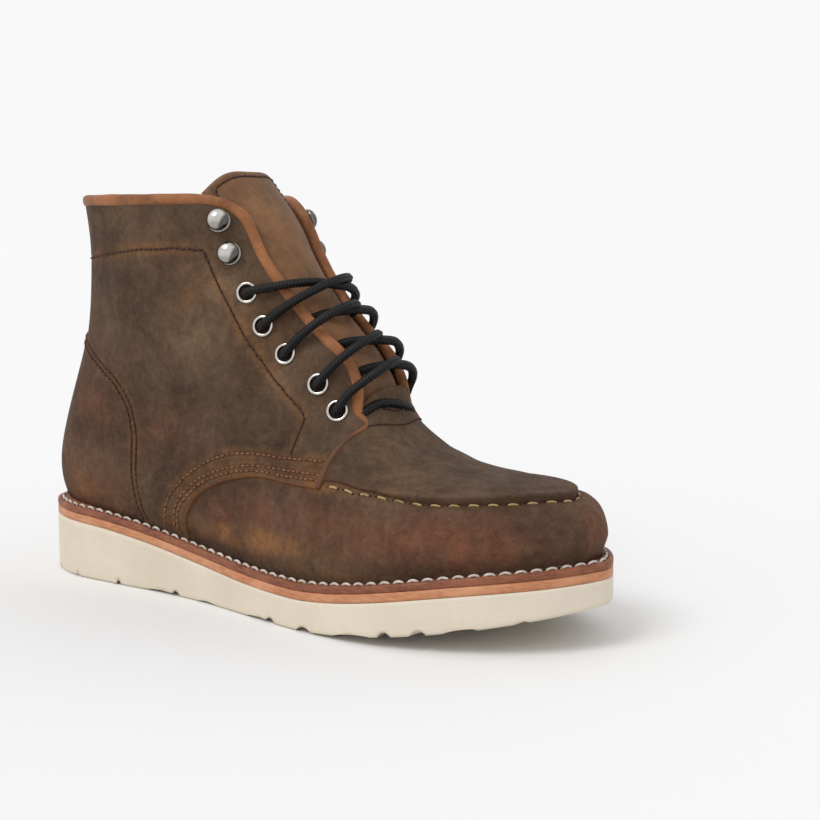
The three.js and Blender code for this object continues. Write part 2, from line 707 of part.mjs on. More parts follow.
function hookGeometry() {
  const [base, neck, head] = [HOOK_BASE / 2, HOOK_NECK / 2, HOOK_HEAD / 2];
  const profile = [
    [0, 0], [base, 0], [base, HOOK_FLANGE], [neck, 2 * HOOK_FLANGE], [neck, HOOK_HEIGHT * 0.54],
    [head, HOOK_HEIGHT * 0.63], [head * 0.79, HOOK_HEIGHT * 0.88], [head / 2, HOOK_HEIGHT], [0, HOOK_HEIGHT],
  ];
  return new THREE.LatheGeometry(profile.map(([x, y]) => new THREE.Vector2(x, y)), FITTING_SIDES);
}

// A lace strand from one facing to the other: share of the way across, lift off the last
function strandPoints(lower, upper, side, profile) {
  const reach = throatHalf(lower.place) + EYELET_SETBACK;
  return profile.map(([across, lift]) => {
    const place = lower.place + (upper.place - lower.place) * across;
    return frontPoint(place, side * reach * (1 - 2 * across), lift);
  });
}

const OVER_EYELET = QUARTER_STEP + FITTING_GAP + EYELET_RIM + LACE_DIAMETER / 2 + 3 * GAP;
const OVER_BINDING = BINDING_DIAMETER / 2 + LACE_DIAMETER / 2 + 2 * GAP;
const OVER_TONGUE = LACE_DIAMETER / 2 + GAP - WALL;

function makeCrossing(lower, upper, isTop) {
  const slack = LACE_DIAMETER / 3;
  const dive = [[0, OVER_EYELET], [0.16, OVER_EYELET], [0.3, OVER_BINDING], [0.5, OVER_BINDING - slack],
    [0.66, OVER_TONGUE + slack], [0.74, OVER_TONGUE]];
  const bridge = [[0, OVER_EYELET], [0.16, OVER_EYELET], [0.3, OVER_BINDING], [0.5, OVER_BINDING],
    [0.7, OVER_BINDING], [0.84, OVER_EYELET], [1, OVER_EYELET]];
  const profile = isTop ? bridge : dive;
  const strands = [-1, 1].map((side) => toSolid(tube(strandPoints(lower, upper, side, profile), LACE_DIAMETER, STRAND_STEPS)));
  return strands[0].add(strands[1]);
}

function makeBar(lowest) {
  const half = throatHalf(lowest.place) - LACE_DIAMETER / 2;
  const place = throatBase + 1.7 * LACE_DIAMETER;
  const shares = [-1, -0.5, 0, 0.5, 1];
  const points = shares.map((share) => frontPoint(place, half * share, LACE_DIAMETER * (0.5 - 0.3 * share * share)));
  return toSolid(tube(points, LACE_DIAMETER, BAR_STEPS));
}

// Assembly
const boot = new THREE.Group();

function finish(colours) {
  return new THREE.MeshStandardMaterial({ metalness: 0, ...colours });
}

function addPiece(name, geometry, colours) {
  const mesh = new THREE.Mesh(geometry, finish(colours));
  mesh.name = name;
  boot.add(mesh);
  return mesh;
}

function addFitting(name, geometry, seat) {
  const mesh = addPiece(name, geometry, NICKEL);
  mesh.quaternion.setFromUnitVectors(new THREE.Vector3(0, 1, 0), seat.normal);
  mesh.position.copy(seat.point).addScaledVector(seat.normal, FITTING_GAP);
}

const sides = { outer: -1, inner: 1 };
const eyelets = Object.fromEntries(Object.entries(sides).map(([name, side]) => [
  name,
  EYELET_LEVELS.map((level) => facingSeat(level, side)),
]));
const hooks = Object.fromEntries(Object.entries(sides).map(([name, side]) => [
  name,
  HOOK_LEVELS.map((level) => facingSeat(level, side)),
]));

addPiece('outsole', toGeometry(makeOutsole()), CREPE);
addPiece('midsole', toGeometry(makeMidsole()), NATURAL_LEATHER);
addPiece('welt', toGeometry(makeWelt()), WELT_LEATHER);
addPiece('insole', toGeometry(makeInsole()), NATURAL_LEATHER);
addPiece('upper', toGeometry(makeUpper([...eyelets.outer, ...eyelets.inner])), LEATHER);
addPiece('tongue', toGeometry(makeTongue()), TAN_LEATHER);
addPiece('collar_binding', toGeometry(makeBinding()), TAN_LEATHER);
for (const name of Object.keys(sides)) {
  eyelets[name].forEach((seat, i) => addFitting(`eyelet_${name}_${i + 1}`, eyeletGeometry(), seat));
  hooks[name].forEach((seat, i) => addFitting(`hook_${name}_${i + 1}`, hookGeometry(), seat));
}
addPiece('lace_bar', toGeometry(makeBar(eyelets.outer[0])), LACE_CORD);
for (let i = 0; i < EYELET_LEVELS.length - 1; i++) {
  const isTop = i === EYELET_LEVELS.length - 2;
  const crossing = makeCrossing(eyelets.outer[i], eyelets.outer[i + 1], isTop);
  addPiece(`lace_cross_${i + 1}`, toGeometry(crossing), LACE_CORD);
}

// The origin is under the middle of the sole
const outlineYs = soleOutline().map((p) => p.y);
boot.position.set(-SOLE_LENGTH / 2, -(Math.min(...outlineYs) + Math.max(...outlineYs)) / 2, 0);

export default boot;
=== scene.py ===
import math

import bpy
import numpy as np
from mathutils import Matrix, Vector
from mathutils.bvhtree import BVHTree
from mathutils.kdtree import KDTree


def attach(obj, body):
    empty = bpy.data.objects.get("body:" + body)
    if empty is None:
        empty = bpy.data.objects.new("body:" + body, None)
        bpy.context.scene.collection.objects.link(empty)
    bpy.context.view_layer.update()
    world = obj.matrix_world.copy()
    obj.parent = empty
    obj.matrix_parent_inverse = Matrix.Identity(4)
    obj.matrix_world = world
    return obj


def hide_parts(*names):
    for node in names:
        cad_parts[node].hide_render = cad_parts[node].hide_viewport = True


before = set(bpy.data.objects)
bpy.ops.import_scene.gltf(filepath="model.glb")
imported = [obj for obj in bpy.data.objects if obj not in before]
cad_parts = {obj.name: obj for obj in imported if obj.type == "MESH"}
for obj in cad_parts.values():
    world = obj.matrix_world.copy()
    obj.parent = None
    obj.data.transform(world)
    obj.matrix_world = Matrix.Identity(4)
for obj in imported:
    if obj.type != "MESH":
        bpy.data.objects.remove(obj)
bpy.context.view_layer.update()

# Sizes in millimetres, as in the part's source. x runs from the back of the heel to the toe.
SOLE_LENGTH, HEEL_WIDTH, BALL_WIDTH = 302.0, 74.4, 106.0
HEEL_THICKNESS, FORE_THICKNESS, MIDSOLE, WELT = 27.4, 14.0, 3.4, 3.3
TOE_SPRING, ROCKER_POWER, ROCKER_START = 18.0, 1.48, 0.6
INSTEP_RISE, SHAFT_RISE = 63.0, 149.0
WALL, QUARTER_STEP, PLUG_STEP = 2.2, 1.6, 3.4
THROAT_LOW, THROAT_TOP = 31.0, 42.0
INSOLE, BINDING, LACE = 4.0, 4.2, 4.2
TONGUE_THICK, TONGUE_CLEAR = 2.4, 0.9
TONGUE_BASE, TONGUE_TOP, TONGUE_DRIFT = 30.0, 48.0, 5.0
SETBACK, HOOK_HEAD, GAP = 7.4, 9.4, 0.3
SHIFT = np.array([-151.0, 0.7207, 0.0])

OUTLINE = [
    (0.0066, 0.26, 0.266), (0.033, 0.635, 0.64), (0.099, 0.934, 0.931), (0.199, 1.0, 0.997),
    (0.298, 1.0, 0.957), (0.397, 0.963, 0.866), (0.497, 0.932, 0.813), (0.596, 0.965, 0.868),
    (0.662, 1.01, 0.943), (0.712, 1.02, 0.981), (0.762, 0.992, 0.99), (0.828, 0.892, 0.934),
    (0.894, 0.719, 0.785), (0.944, 0.51, 0.579), (0.977, 0.291, 0.336), (0.995, 0.109, 0.13),
]
WEDGE = [(0, 1), (0.2, 0.843), (0.364, 0.321), (0.53, -0.037), (0.695, -0.007), (0.86, 0.03), (1, -0.27)]
SECTIONS = np.array([
    [0.983, 0.118, 0.983, 0.175, 0.057, 0.075, 0.50, 2.00, 2.00],
    [0.979, 0.010, 0.979, 0.262, 0.185, 0.213, 0.45, 2.20, 2.20],
    [0.966, -0.102, 0.966, 0.334, 0.322, 0.369, 0.42, 2.40, 2.50],
    [0.947, -0.156, 0.947, 0.387, 0.468, 0.525, 0.40, 2.60, 2.90],
    [0.911, -0.171, 0.911, 0.429, 0.613, 0.675, 0.38, 2.70, 3.10],
    [0.861, -0.193, 0.864, 0.464, 0.774, 0.821, 0.36, 2.70, 3.10],
    [0.795, -0.210, 0.808, 0.520, 0.898, 0.909, 0.34, 2.70, 2.90],
    [0.722, -0.202, 0.762, 0.601, 0.955, 0.921, 0.32, 2.70, 2.70],
    [0.639, -0.196, 0.719, 0.737, 0.951, 0.874, 0.30, 2.70, 2.60],
    [0.550, -0.185, 0.685, 0.880, 0.897, 0.797, 0.29, 2.60, 2.60],
    [0.457, -0.195, 0.662, 1.022, 0.860, 0.770, 0.29, 2.60, 2.50],
    [0.358, -0.220, 0.656, 1.129, 0.869, 0.814, 0.30, 2.50, 2.28],
    [0.248, -0.236, 0.646, 1.232, 0.919, 0.907, 0.32, 2.40, 2.42],
    [0.139, -0.221, 0.631, 1.307, 0.954, 0.954, 0.34, 2.30, 2.70],
    [0.053, -0.153, 0.614, 1.377, 0.935, 0.935, 0.36, 2.25, 2.85],
    [0.015, 0.037, 0.598, 1.439, 0.927, 0.927, 0.37, 2.20, 2.75],
    [0.007, 0.243, 0.581, 1.501, 0.927, 0.927, 0.38, 2.15, 2.65],
    [0.020, 0.529, 0.563, 1.567, 0.935, 0.935, 0.40, 2.10, 2.50],
    [0.048, 0.879, 0.543, 1.643, 0.949, 0.949, 0.43, 2.10, 2.35],
    [0.075, 1.191, 0.522, 1.739, 0.962, 0.962, 0.46, 2.05, 2.20],
    [0.089, 1.483, 0.500, 1.852, 0.981, 0.981, 0.48, 2.05, 2.05],
    [0.092, 1.727, 0.475, 1.985, 1.000, 1.000, 0.50, 2.05, 2.05],
    [0.084, 1.983, 0.440, 2.119, 1.016, 1.016, 0.50, 2.05, 2.05],
    [0.076, 2.238, 0.397, 2.265, 1.032, 1.032, 0.50, 2.05, 2.05],
])
MOC_SEAM = [
    (0.600, -0.757), (0.645, -0.757), (0.685, -0.752), (0.728, -0.715), (0.781, -0.660), (0.825, -0.585),
    (0.868, -0.475), (0.904, -0.345), (0.930, -0.19), (0.944, 0.0), (0.936, 0.17), (0.913, 0.32),
    (0.868, 0.50), (0.825, 0.61), (0.781, 0.675), (0.728, 0.71), (0.685, 0.72), (0.645, 0.71), (0.600, 0.70),
]
WING_EDGE = [(187.7, 59), (168, 59.4), (149, 60), (130, 55.7), (121, 51.8),
             (114, 46.4), (109, 38.5), (107.5, 31.5), (107.3, 20)]
# Edge of each facing: height, then distance from the middle
FACING_EDGE = [(40, -20), (72, 0), (79, 12), (84, 19.4), (88, 19.8), (92, 18.6), (96, 17.2), (100, 16.2),
               (110, 15.5), (120, 16.6), (130, 17.3), (140, 18.4), (150, 19.5), (160, 20.2), (170, 20.6), (210, 21)]
# Front edge of the quarters below the facing's corner: height, then distance from the heel's back
QUARTER_FRONT = [(20, 188.4), (60, 189.2), (71, 190.8), (78, 193.8), (82, 197.0), (85, 200.2),
                 (88, 204.5), (92, 220), (96, 300)]
EYELET_LEVELS = [1.07, 1.2, 1.337, 1.466, 1.624]
HOOK_LEVELS = [1.81, 1.964]


def clamp(value, low, high):
    return np.minimum(high, np.maximum(low, value))


def smoothstep(value):
    s = clamp(value, 0.0, 1.0)
    return s * s * (3 - 2 * s)


def bump(value, centre, width):
    return np.exp(-(((value - centre) / width) ** 2))


def spline(xs, ys):
    """Natural cubic spline through (xs, ys)."""
    xs, ys = np.asarray(xs, float), np.asarray(ys, float)
    n, h = len(xs), np.diff(xs)
    matrix, right = np.eye(n), np.zeros(n)
    for i in range(1, n - 1):
        matrix[i, i - 1:i + 2] = h[i - 1], 2 * (h[i - 1] + h[i]), h[i]
        right[i] = 6 * ((ys[i + 1] - ys[i]) / h[i] - (ys[i] - ys[i - 1]) / h[i - 1])
    bend = np.linalg.solve(matrix, right)

    def value(x):
        x = np.asarray(x, float)
        i = np.clip(np.searchsorted(xs, x) - 1, 0, n - 2)
        b = (x - xs[i]) / h[i]
        a = 1 - b
        curve = (a**3 - a) * bend[i] + (b**3 - b) * bend[i + 1]
        return a * ys[i] + b * ys[i + 1] + curve * h[i] ** 2 / 6

    return value


def running(line):
    """Length run along a line at each of its points."""
    return np.concatenate([[0], np.cumsum(np.linalg.norm(np.diff(line, axis=0), axis=1))])


def resample(line, count):
    line = np.asarray(line, float)
    run = running(line)
    at = np.linspace(0, run[-1], count)
    return np.stack([np.interp(at, run, line[:, k]) for k in range(line.shape[1])], axis=1)


def smooth_line(points, count, closed=False):
    """Evenly spaced points of the centripetal curve through the given ones."""
    p = np.asarray(points, float)
    if closed:
        p = np.vstack([p[-1:], p, p[:2]])
    else:
        p = np.vstack([2 * p[0] - p[1], p, 2 * p[-1] - p[-2]])
    parts = []
    t = np.linspace(0, 1, 24, endpoint=False)[:, None]
    for i in range(1, len(p) - 2):
        q = p[i - 1:i + 3]
        d = np.maximum(np.sum(np.diff(q, axis=0) ** 2, axis=1) ** 0.25, 1e-4)
        m1 = ((q[1] - q[0]) / d[0] - (q[2] - q[0]) / (d[0] + d[1]) + (q[2] - q[1]) / d[1]) * d[1]
        m2 = ((q[2] - q[1]) / d[1] - (q[3] - q[1]) / (d[1] + d[2]) + (q[3] - q[2]) / d[2]) * d[1]
        gap = q[2] - q[1]
        parts.append(q[1] + m1 * t + (3 * gap - 2 * m1 - m2) * t**2 + (m1 + m2 - 2 * gap) * t**3)
    parts.append(p[1:2] if closed else p[-2:-1])
    return resample(np.vstack(parts), count)


# Sole outline and profile
def local_half(along):
    return (HEEL_WIDTH + (BALL_WIDTH - HEEL_WIDTH) * smoothstep((along - 0.3) / 0.3)) / 2


wedge_share = spline(*zip(*WEDGE))


def sole_bottom(x):
    reach = np.maximum(0, (x / SOLE_LENGTH - ROCKER_START) / (1 - ROCKER_START))
    return TOE_SPRING * reach**ROCKER_POWER


def crepe_top(x):
    share = wedge_share(clamp(x / SOLE_LENGTH, 0, 1))
    return sole_bottom(x) + FORE_THICKNESS + (HEEL_THICKNESS - FORE_THICKNESS) * share


def midsole_top(x):
    return crepe_top(x) + GAP + MIDSOLE


def welt_top(x):
    return midsole_top(x) + GAP + WELT


def outline_loop():
    loop = [(0.0, 0.0)]
    loop += [(a * SOLE_LENGTH, -o * local_half(a)) for a, o, i in OUTLINE]
    loop += [(SOLE_LENGTH, 0.0)]
    loop += [(a * SOLE_LENGTH, i * local_half(a)) for a, o, i in reversed(OUTLINE)]
    return smooth_line(loop, 721, closed=True)[:-1]


# Surface of the last, as a fan of rounded sections
def height_at(along, level):
    above = np.where(level <= 1, level * INSTEP_RISE, INSTEP_RISE + (level - 1) * (SHAFT_RISE - INSTEP_RISE))
    return welt_top(along * SOLE_LENGTH) + above


def section_curves():
    back, back_level, front, front_level, outer, inner, waist, low, high = SECTIONS.T
    half = local_half(back + waist * (front - back))
    rows = {
        "bx": back * SOLE_LENGTH, "bz": height_at(back, back_level),
        "fx": front * SOLE_LENGTH, "fz": height_at(front, front_level),
        "outer": outer * half, "inner": inner * half, "waist": waist, "low": low, "high": high,
    }
    steps = sum(np.hypot(np.diff(rows[end + "x"]), np.diff(rows[end + "z"])) for end in "bf") / 2
    places = np.concatenate([[0], np.cumsum(steps)])
    return places, {key: spline(places, values) for key, values in rows.items()}


PLACES, CURVES = section_curves()
END = PLACES[-1]
COLLAR = PLACES[-2]


def last_point(place, angle):
    place, angle = np.broadcast_arrays(np.asarray(place, float), np.asarray(angle, float))
    s = {key: curve(place) for key, curve in CURVES.items()}
    c, side = np.cos(angle), np.sin(angle)
    power = 2 / np.where(c > 0, s["low"], s["high"])
    climb = np.abs(c) ** power
    share = np.where(c > 0, s["waist"] * (1 - climb), s["waist"] + (1 - s["waist"]) * climb)
    y = np.sign(side) * np.abs(side) ** power * np.where(side < 0, s["outer"], s["inner"])
    return np.stack([s["bx"] + (s["fx"] - s["bx"]) * share, y, s["bz"] + (s["fz"] - s["bz"]) * share], axis=-1)


def unit(v):
    return v / np.maximum(np.linalg.norm(v, axis=-1, keepdims=True), 1e-9)


def last_normal(place, angle):
    place, angle = np.broadcast_arrays(np.asarray(place, float), np.asarray(angle, float))
    along = last_point(clamp(place + 1, 0, END), angle) - last_point(clamp(place - 1, 0, END), angle)
    around = last_point(place, angle + 0.01) - last_point(place, angle - 0.01)
    normal = unit(np.cross(along, around))
    middle = np.stack([(CURVES["bx"](place) + CURVES["fx"](place)) / 2, 0 * place,
                       (CURVES["bz"](place) + CURVES["fz"](place)) / 2], axis=-1)
    flip = np.sum(normal * (last_point(place, angle) - middle), axis=-1, keepdims=True) < 0
    return np.where(flip, -normal, normal)


def front_angle(place, y):
    half = np.where(y < 0, CURVES["outer"](place), CURVES["inner"](place))
    sine = clamp(np.abs(y) / half, 0, 1) ** (CURVES["high"](place) / 2)
    return math.pi - np.sign(y) * np.arcsin(sine)


def front_point(place, y, lift=0.0):
    angle = front_angle(place, y)
    return last_point(place, angle) + last_normal(place, angle) * np.asarray(lift)[..., None]


def place_of_level(level, y):
    low, high = PLACES[6], END
    for _ in range(40):
        place = (low + high) / 2
        p = front_point(place, y)
        if p[2] > height_at(p[0] / SOLE_LENGTH, level):
            high = place
        else:
            low = place
    return (low + high) / 2


THROAT_BASE = place_of_level(0.97, THROAT_LOW / 2)


def throat_half(place):
    share = clamp((place - THROAT_BASE) / (COLLAR - THROAT_BASE), 0, 1)
    return (THROAT_LOW + (THROAT_TOP - THROAT_LOW) * share) / 2


def facing_seat(level, side):
    guess = place_of_level(level, side * (THROAT_LOW / 2 + SETBACK))
    y = side * (throat_half(guess) + SETBACK)
    place = place_of_level(level, y)
    angle = front_angle(place, y)
    normal = last_normal(place, angle)
    return {"place": place, "y": y, "normal": normal, "point": last_point(place, angle) + normal * QUARTER_STEP}


# Distances in a plane view
def signed_distance(points, polygon):
    """Distance of 2-D points to a closed outline, positive inside."""
    p, poly = np.asarray(points, float), np.asarray(polygon, float)
    best = np.full(len(p), 1e9)
    inside = np.zeros(len(p), bool)
    for a, b in zip(poly, np.roll(poly, -1, axis=0)):
        d = b - a
        t = clamp(((p - a) @ d) / max(d @ d, 1e-12), 0, 1)
        best = np.minimum(best, np.sum((p - a - t[:, None] * d) ** 2, axis=1))
        crosses = (a[1] > p[:, 1]) != (b[1] > p[:, 1])
        with np.errstate(divide="ignore", invalid="ignore"):
            at = a[0] + (p[:, 1] - a[1]) * d[0] / d[1]
        inside ^= crosses & (p[:, 0] < at)
    return np.where(inside, 1, -1) * np.sqrt(best)


seam_line = smooth_line([(a * SOLE_LENGTH, w * BALL_WIDTH / 2) for a, w in MOC_SEAM], 240)
wing_line = smooth_line(WING_EDGE, 160)
facing_rows, front_rows = smooth_line(FACING_EDGE, 240), smooth_line(QUARTER_FRONT, 240)
CORNER_TOP, CORNER_LOW = 13.0, 4.0
# How far panels run past or stop short of the lines they meet at
FOOT_TUCK, UNDER_WING, UNDER_PLUG, PLUG_LIP = 2.6, 7.0, 3.2, 0.7


def round_corner(a, b, radius):
    """Smaller of two distances, with a rounded corner where both are small."""
    inside = radius - np.hypot(np.maximum(radius - a, 0), np.maximum(radius - b, 0))
    return np.where((a < radius) & (b < radius), inside, np.minimum(a, b))


def rim_field(d):
    """Distance in from the outermost edge of the collar, the facings and the quarters' front edges."""
    p, angle = d[:, :3], d[:, 7]
    z = clamp(p[:, 2], 40, 205)
    edge = np.interp(z, facing_rows[:, 0], facing_rows[:, 1])
    front = np.abs(angle) > math.pi / 2
    facing = np.where(front & (p[:, 2] > 74), np.abs(p[:, 1]) - edge + BINDING / 2, 60.0)
    ahead = np.where(p[:, 2] < 95, np.interp(z, front_rows[:, 0], front_rows[:, 1]) - p[:, 0], 60.0)
    below = last_point(np.full(len(d), COLLAR), angle)[:, 2] - p[:, 2]
    return round_corner(round_corner(facing, ahead, CORNER_LOW), below, CORNER_TOP)


def wing_field(p):
    """Positive behind and above the wing's curve, in the side view."""
    region = np.vstack([[(400, 59), (240, 59)], wing_line, [(-60, 20), (-60, 400), (400, 400)]])
    return signed_distance(p[:, [0, 2]], region)


def binding_inset(z):
    return 1.5 + 1.0 * smoothstep((z - 84) / 9)


def plug_field(p):
    field = signed_distance(p[:, :2], seam_line)
    return np.where(p[:, 2] > height_at(0.8, np.float64(0.2)), field, -20.0)


def plug_lift(x):
    return 0.5 + (PLUG_STEP - 0.5) * smoothstep((x / SOLE_LENGTH - 0.62) / 0.2)


def grid_faces(rows, columns, closed=True, ends=False):
    """Quads of a grid of points, joined round where closed, with end caps where asked."""
    i, j = np.meshgrid(np.arange(rows - 1), np.arange(columns - (not closed)), indexing="ij")
    a, b = i * columns + j, i * columns + (j + 1) % columns
    faces = np.stack([a, b, b + columns, a + columns], -1).reshape(-1, 4)
    if not ends:
        return faces
    return faces.tolist() + [list(range(columns))[::-1], list(range((rows - 1) * columns, rows * columns))]


# Skin of the last as an even grid, cut into panels along the fields above
def even_angles(places, count):
    """Angles from the front over the outer side and the back to the front, evenly spaced in each half."""
    dense = np.linspace(-math.pi, 0, 241)
    rows = []
    for place in places:
        halves = []
        for angles in (dense, dense + math.pi):
            p = last_point(np.full(len(angles), place), angles)
            run = running(p)
            halves.append(np.interp(np.linspace(0, run[-1], count + 1)[:-1], run, angles))
        rows.append(np.concatenate(halves))
    return np.array(rows)


def skin_grid(rings, half_count):
    places = END * np.linspace(0, 1, rings) ** 1.35
    angles = even_angles(places, half_count)
    place = np.repeat(places[:, None], angles.shape[1], axis=1)
    point, normal = last_point(place, angles), last_normal(place, angles)
    count = angles.shape[1]
    quads = grid_faces(rings, count)
    tris = np.concatenate([quads[:, :3], quads[:, [0, 2, 3]]])
    data = np.column_stack([point.reshape(-1, 3), normal.reshape(-1, 3), place.ravel(), angles.ravel()])
    tip = point[0].mean(axis=0) + [0.5, 0, 0]
    data = np.vstack([data, [*tip, 1, 0, 0, 0, 0]])
    ring = np.arange(count)
    tris = np.vstack([tris, np.stack([np.full(count, len(data) - 1), (ring + 1) % count, ring], -1)])
    flat = data[tris[:, 0], :3], data[tris[:, 1], :3], data[tris[:, 2], :3]
    outward = np.einsum("ij,ij->i", np.cross(flat[1] - flat[0], flat[2] - flat[0]), data[tris[:, 0], 3:6])
    tris[outward < 0] = tris[outward < 0][:, ::-1]
    return data, tris


def clip(data, tris, *fields):
    """Keeps the part of a mesh where every field is positive, cut along its zero line."""
    for field in fields:
        data, tris = clip_once(data, tris, field(data))
    return data, tris


def clip_once(data, tris, field):
    keep = field > 0
    count = keep[tris].sum(axis=1)
    whole = tris[count == 3]
    extra, extra_faces, made = [], [], {}

    def crossing(a, b):
        key = (min(a, b), max(a, b))
        if key not in made:
            t = field[key[0]] / (field[key[0]] - field[key[1]])
            made[key] = len(data) + len(extra)
            extra.append(data[key[0]] * (1 - t) + data[key[1]] * t)
        return made[key]

    for tri in tris[(count == 1) | (count == 2)]:
        inside = [keep[v] for v in tri]
        shift = inside.index(True) if sum(inside) == 1 else inside.index(False)
        a, b, c = tri[shift], tri[(shift + 1) % 3], tri[(shift + 2) % 3]
        ab, ac = crossing(a, b), crossing(a, c)
        if sum(inside) == 1:
            extra_faces.append((a, ab, ac))
        else:
            extra_faces += [(ab, b, c), (ab, c, ac)]
    if extra:
        data = np.vstack([data, extra])
        whole = np.vstack([whole, extra_faces])
    used, index = np.unique(whole, return_inverse=True)
    return data[used], index.reshape(-1, 3)


def edge_loops(tris):
    edges = {}
    for a, b, c in tris:
        for e in ((a, b), (b, c), (c, a)):
            if (e[1], e[0]) in edges:
                del edges[(e[1], e[0])]
            else:
                edges[e] = True
    follow = {}
    for a, b in edges:
        follow.setdefault(a, []).append(b)
    loops = []
    while follow:
        start = next(iter(follow))
        loop = [start]
        while True:
            nexts = follow.get(loop[-1])
            if not nexts:
                break
            step = nexts.pop()
            if not nexts:
                del follow[loop[-1]]
            if step == loop[0]:
                break
            loop.append(step)
        if len(loop) > 8:
            loops.append(loop)
    return loops


def smooth_loop(values, times):
    for _ in range(times):
        values = (np.roll(values, 1, axis=0) + 2 * values + np.roll(values, -1, axis=0)) / 4
    return values


def smooth_open(line, times):
    for _ in range(times):
        line[1:-1] = (line[:-2] + 2 * line[1:-1] + line[2:]) / 4
    return line


def with_edge(data, tris, lift, profile, fair=6):
    """Lifts a panel off the last and gives it a rounded edge wall.
    profile: rows of (outwards, height) in mm, height measured from the last's own surface, None for the lift."""
    base, normal = data[:, :3], data[:, 3:6]
    points = base + normal * lift[:, None]
    marks = [np.zeros(len(points))]
    stack, faces = [points], [tris]
    total = len(points)
    for loop in edge_loops(tris):
        ring = smooth_loop(base[loop], fair)
        n = unit(smooth_loop(normal[loop], 2))
        tangent = unit(smooth_loop(np.roll(ring, -1, axis=0) - np.roll(ring, 1, axis=0), 3))
        out = unit(np.cross(tangent, n))
        top = smooth_loop(lift[loop], 2)
        points[loop] = ring + n * top[:, None]
        previous = np.array(loop)
        for reach, drop, height in profile:
            at = top - drop if height is None else np.full(len(loop), height)
            row = ring + out * reach + n * at[:, None]
            stack.append(row)
            marks.append(np.ones(len(loop)))
            current = np.arange(total, total + len(loop))
            total += len(loop)
            a, b = previous, np.roll(previous, -1)
            c, d = np.roll(current, -1), current
            faces += [np.stack([b, a, d], -1), np.stack([b, d, c], -1)]
            previous = current
    return np.vstack(stack), np.vstack(faces), np.concatenate(marks)


# Blender objects
scene = bpy.context.scene


def placed(name, data):
    obj = bpy.data.objects.new(name, data)
    scene.collection.objects.link(obj)
    return obj


def make_piece(name, points, faces, material, nodes, slot, marks=None):
    mesh = bpy.data.meshes.new(name)
    at = (np.asarray(points, float) + SHIFT) / 1000
    if isinstance(faces, np.ndarray):
        faces = faces.tolist()
    mesh.from_pydata(at.tolist(), [], faces)
    for key, values in (marks or {}).items():
        layer = mesh.attributes.new(key, "FLOAT", "POINT")
        layer.data.foreach_set("value", np.asarray(values, np.float32))
    mesh.polygons.foreach_set("use_smooth", [True] * len(mesh.polygons))
    mesh.materials.append(material)
    obj = placed(name, mesh)
    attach(obj, "root")
    if nodes:
        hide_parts(*nodes)


def tube_mesh(line, radius, sides, up, squash=1.0, boxy=2.0):
    """Sweeps a round or flattened section along a line, with closed ends."""
    tangent = unit(np.gradient(line, axis=0))
    angle = 2 * math.pi * np.arange(sides) / sides
    across, high = (np.sign(v) * np.abs(v) ** (2 / boxy) for v in (np.cos(angle), np.sin(angle)))
    rows = []
    for i, t in enumerate(tangent):
        side = unit(np.cross(t, up[i]))
        top = np.cross(side, t)
        rows.append(line[i] + radius[i] * (across[:, None] * side + squash * high[:, None] * top))
    return np.vstack(rows), tube_faces(len(line), sides)


def tube_faces(rows, sides):
    return [[face[0], *face[:0:-1]] for face in grid_faces(rows, sides, ends=True)]


def join_meshes(parts):
    points, faces, total = [], [], 0
    for p, f in parts:
        points.append(p)
        faces += [[v + total for v in face] for face in (f.tolist() if isinstance(f, np.ndarray) else f)]
        total += len(p)
    return np.vstack(points), faces


def mesh_tree(*parts):
    points, faces = join_meshes(parts)
    return BVHTree.FromPolygons(points.tolist(), faces)


def srgb(r, g, b):
    return tuple(v / 255 / 12.92 if v <= 10 else ((v / 255 + 0.055) / 1.055) ** 2.4 for v in (r, g, b))


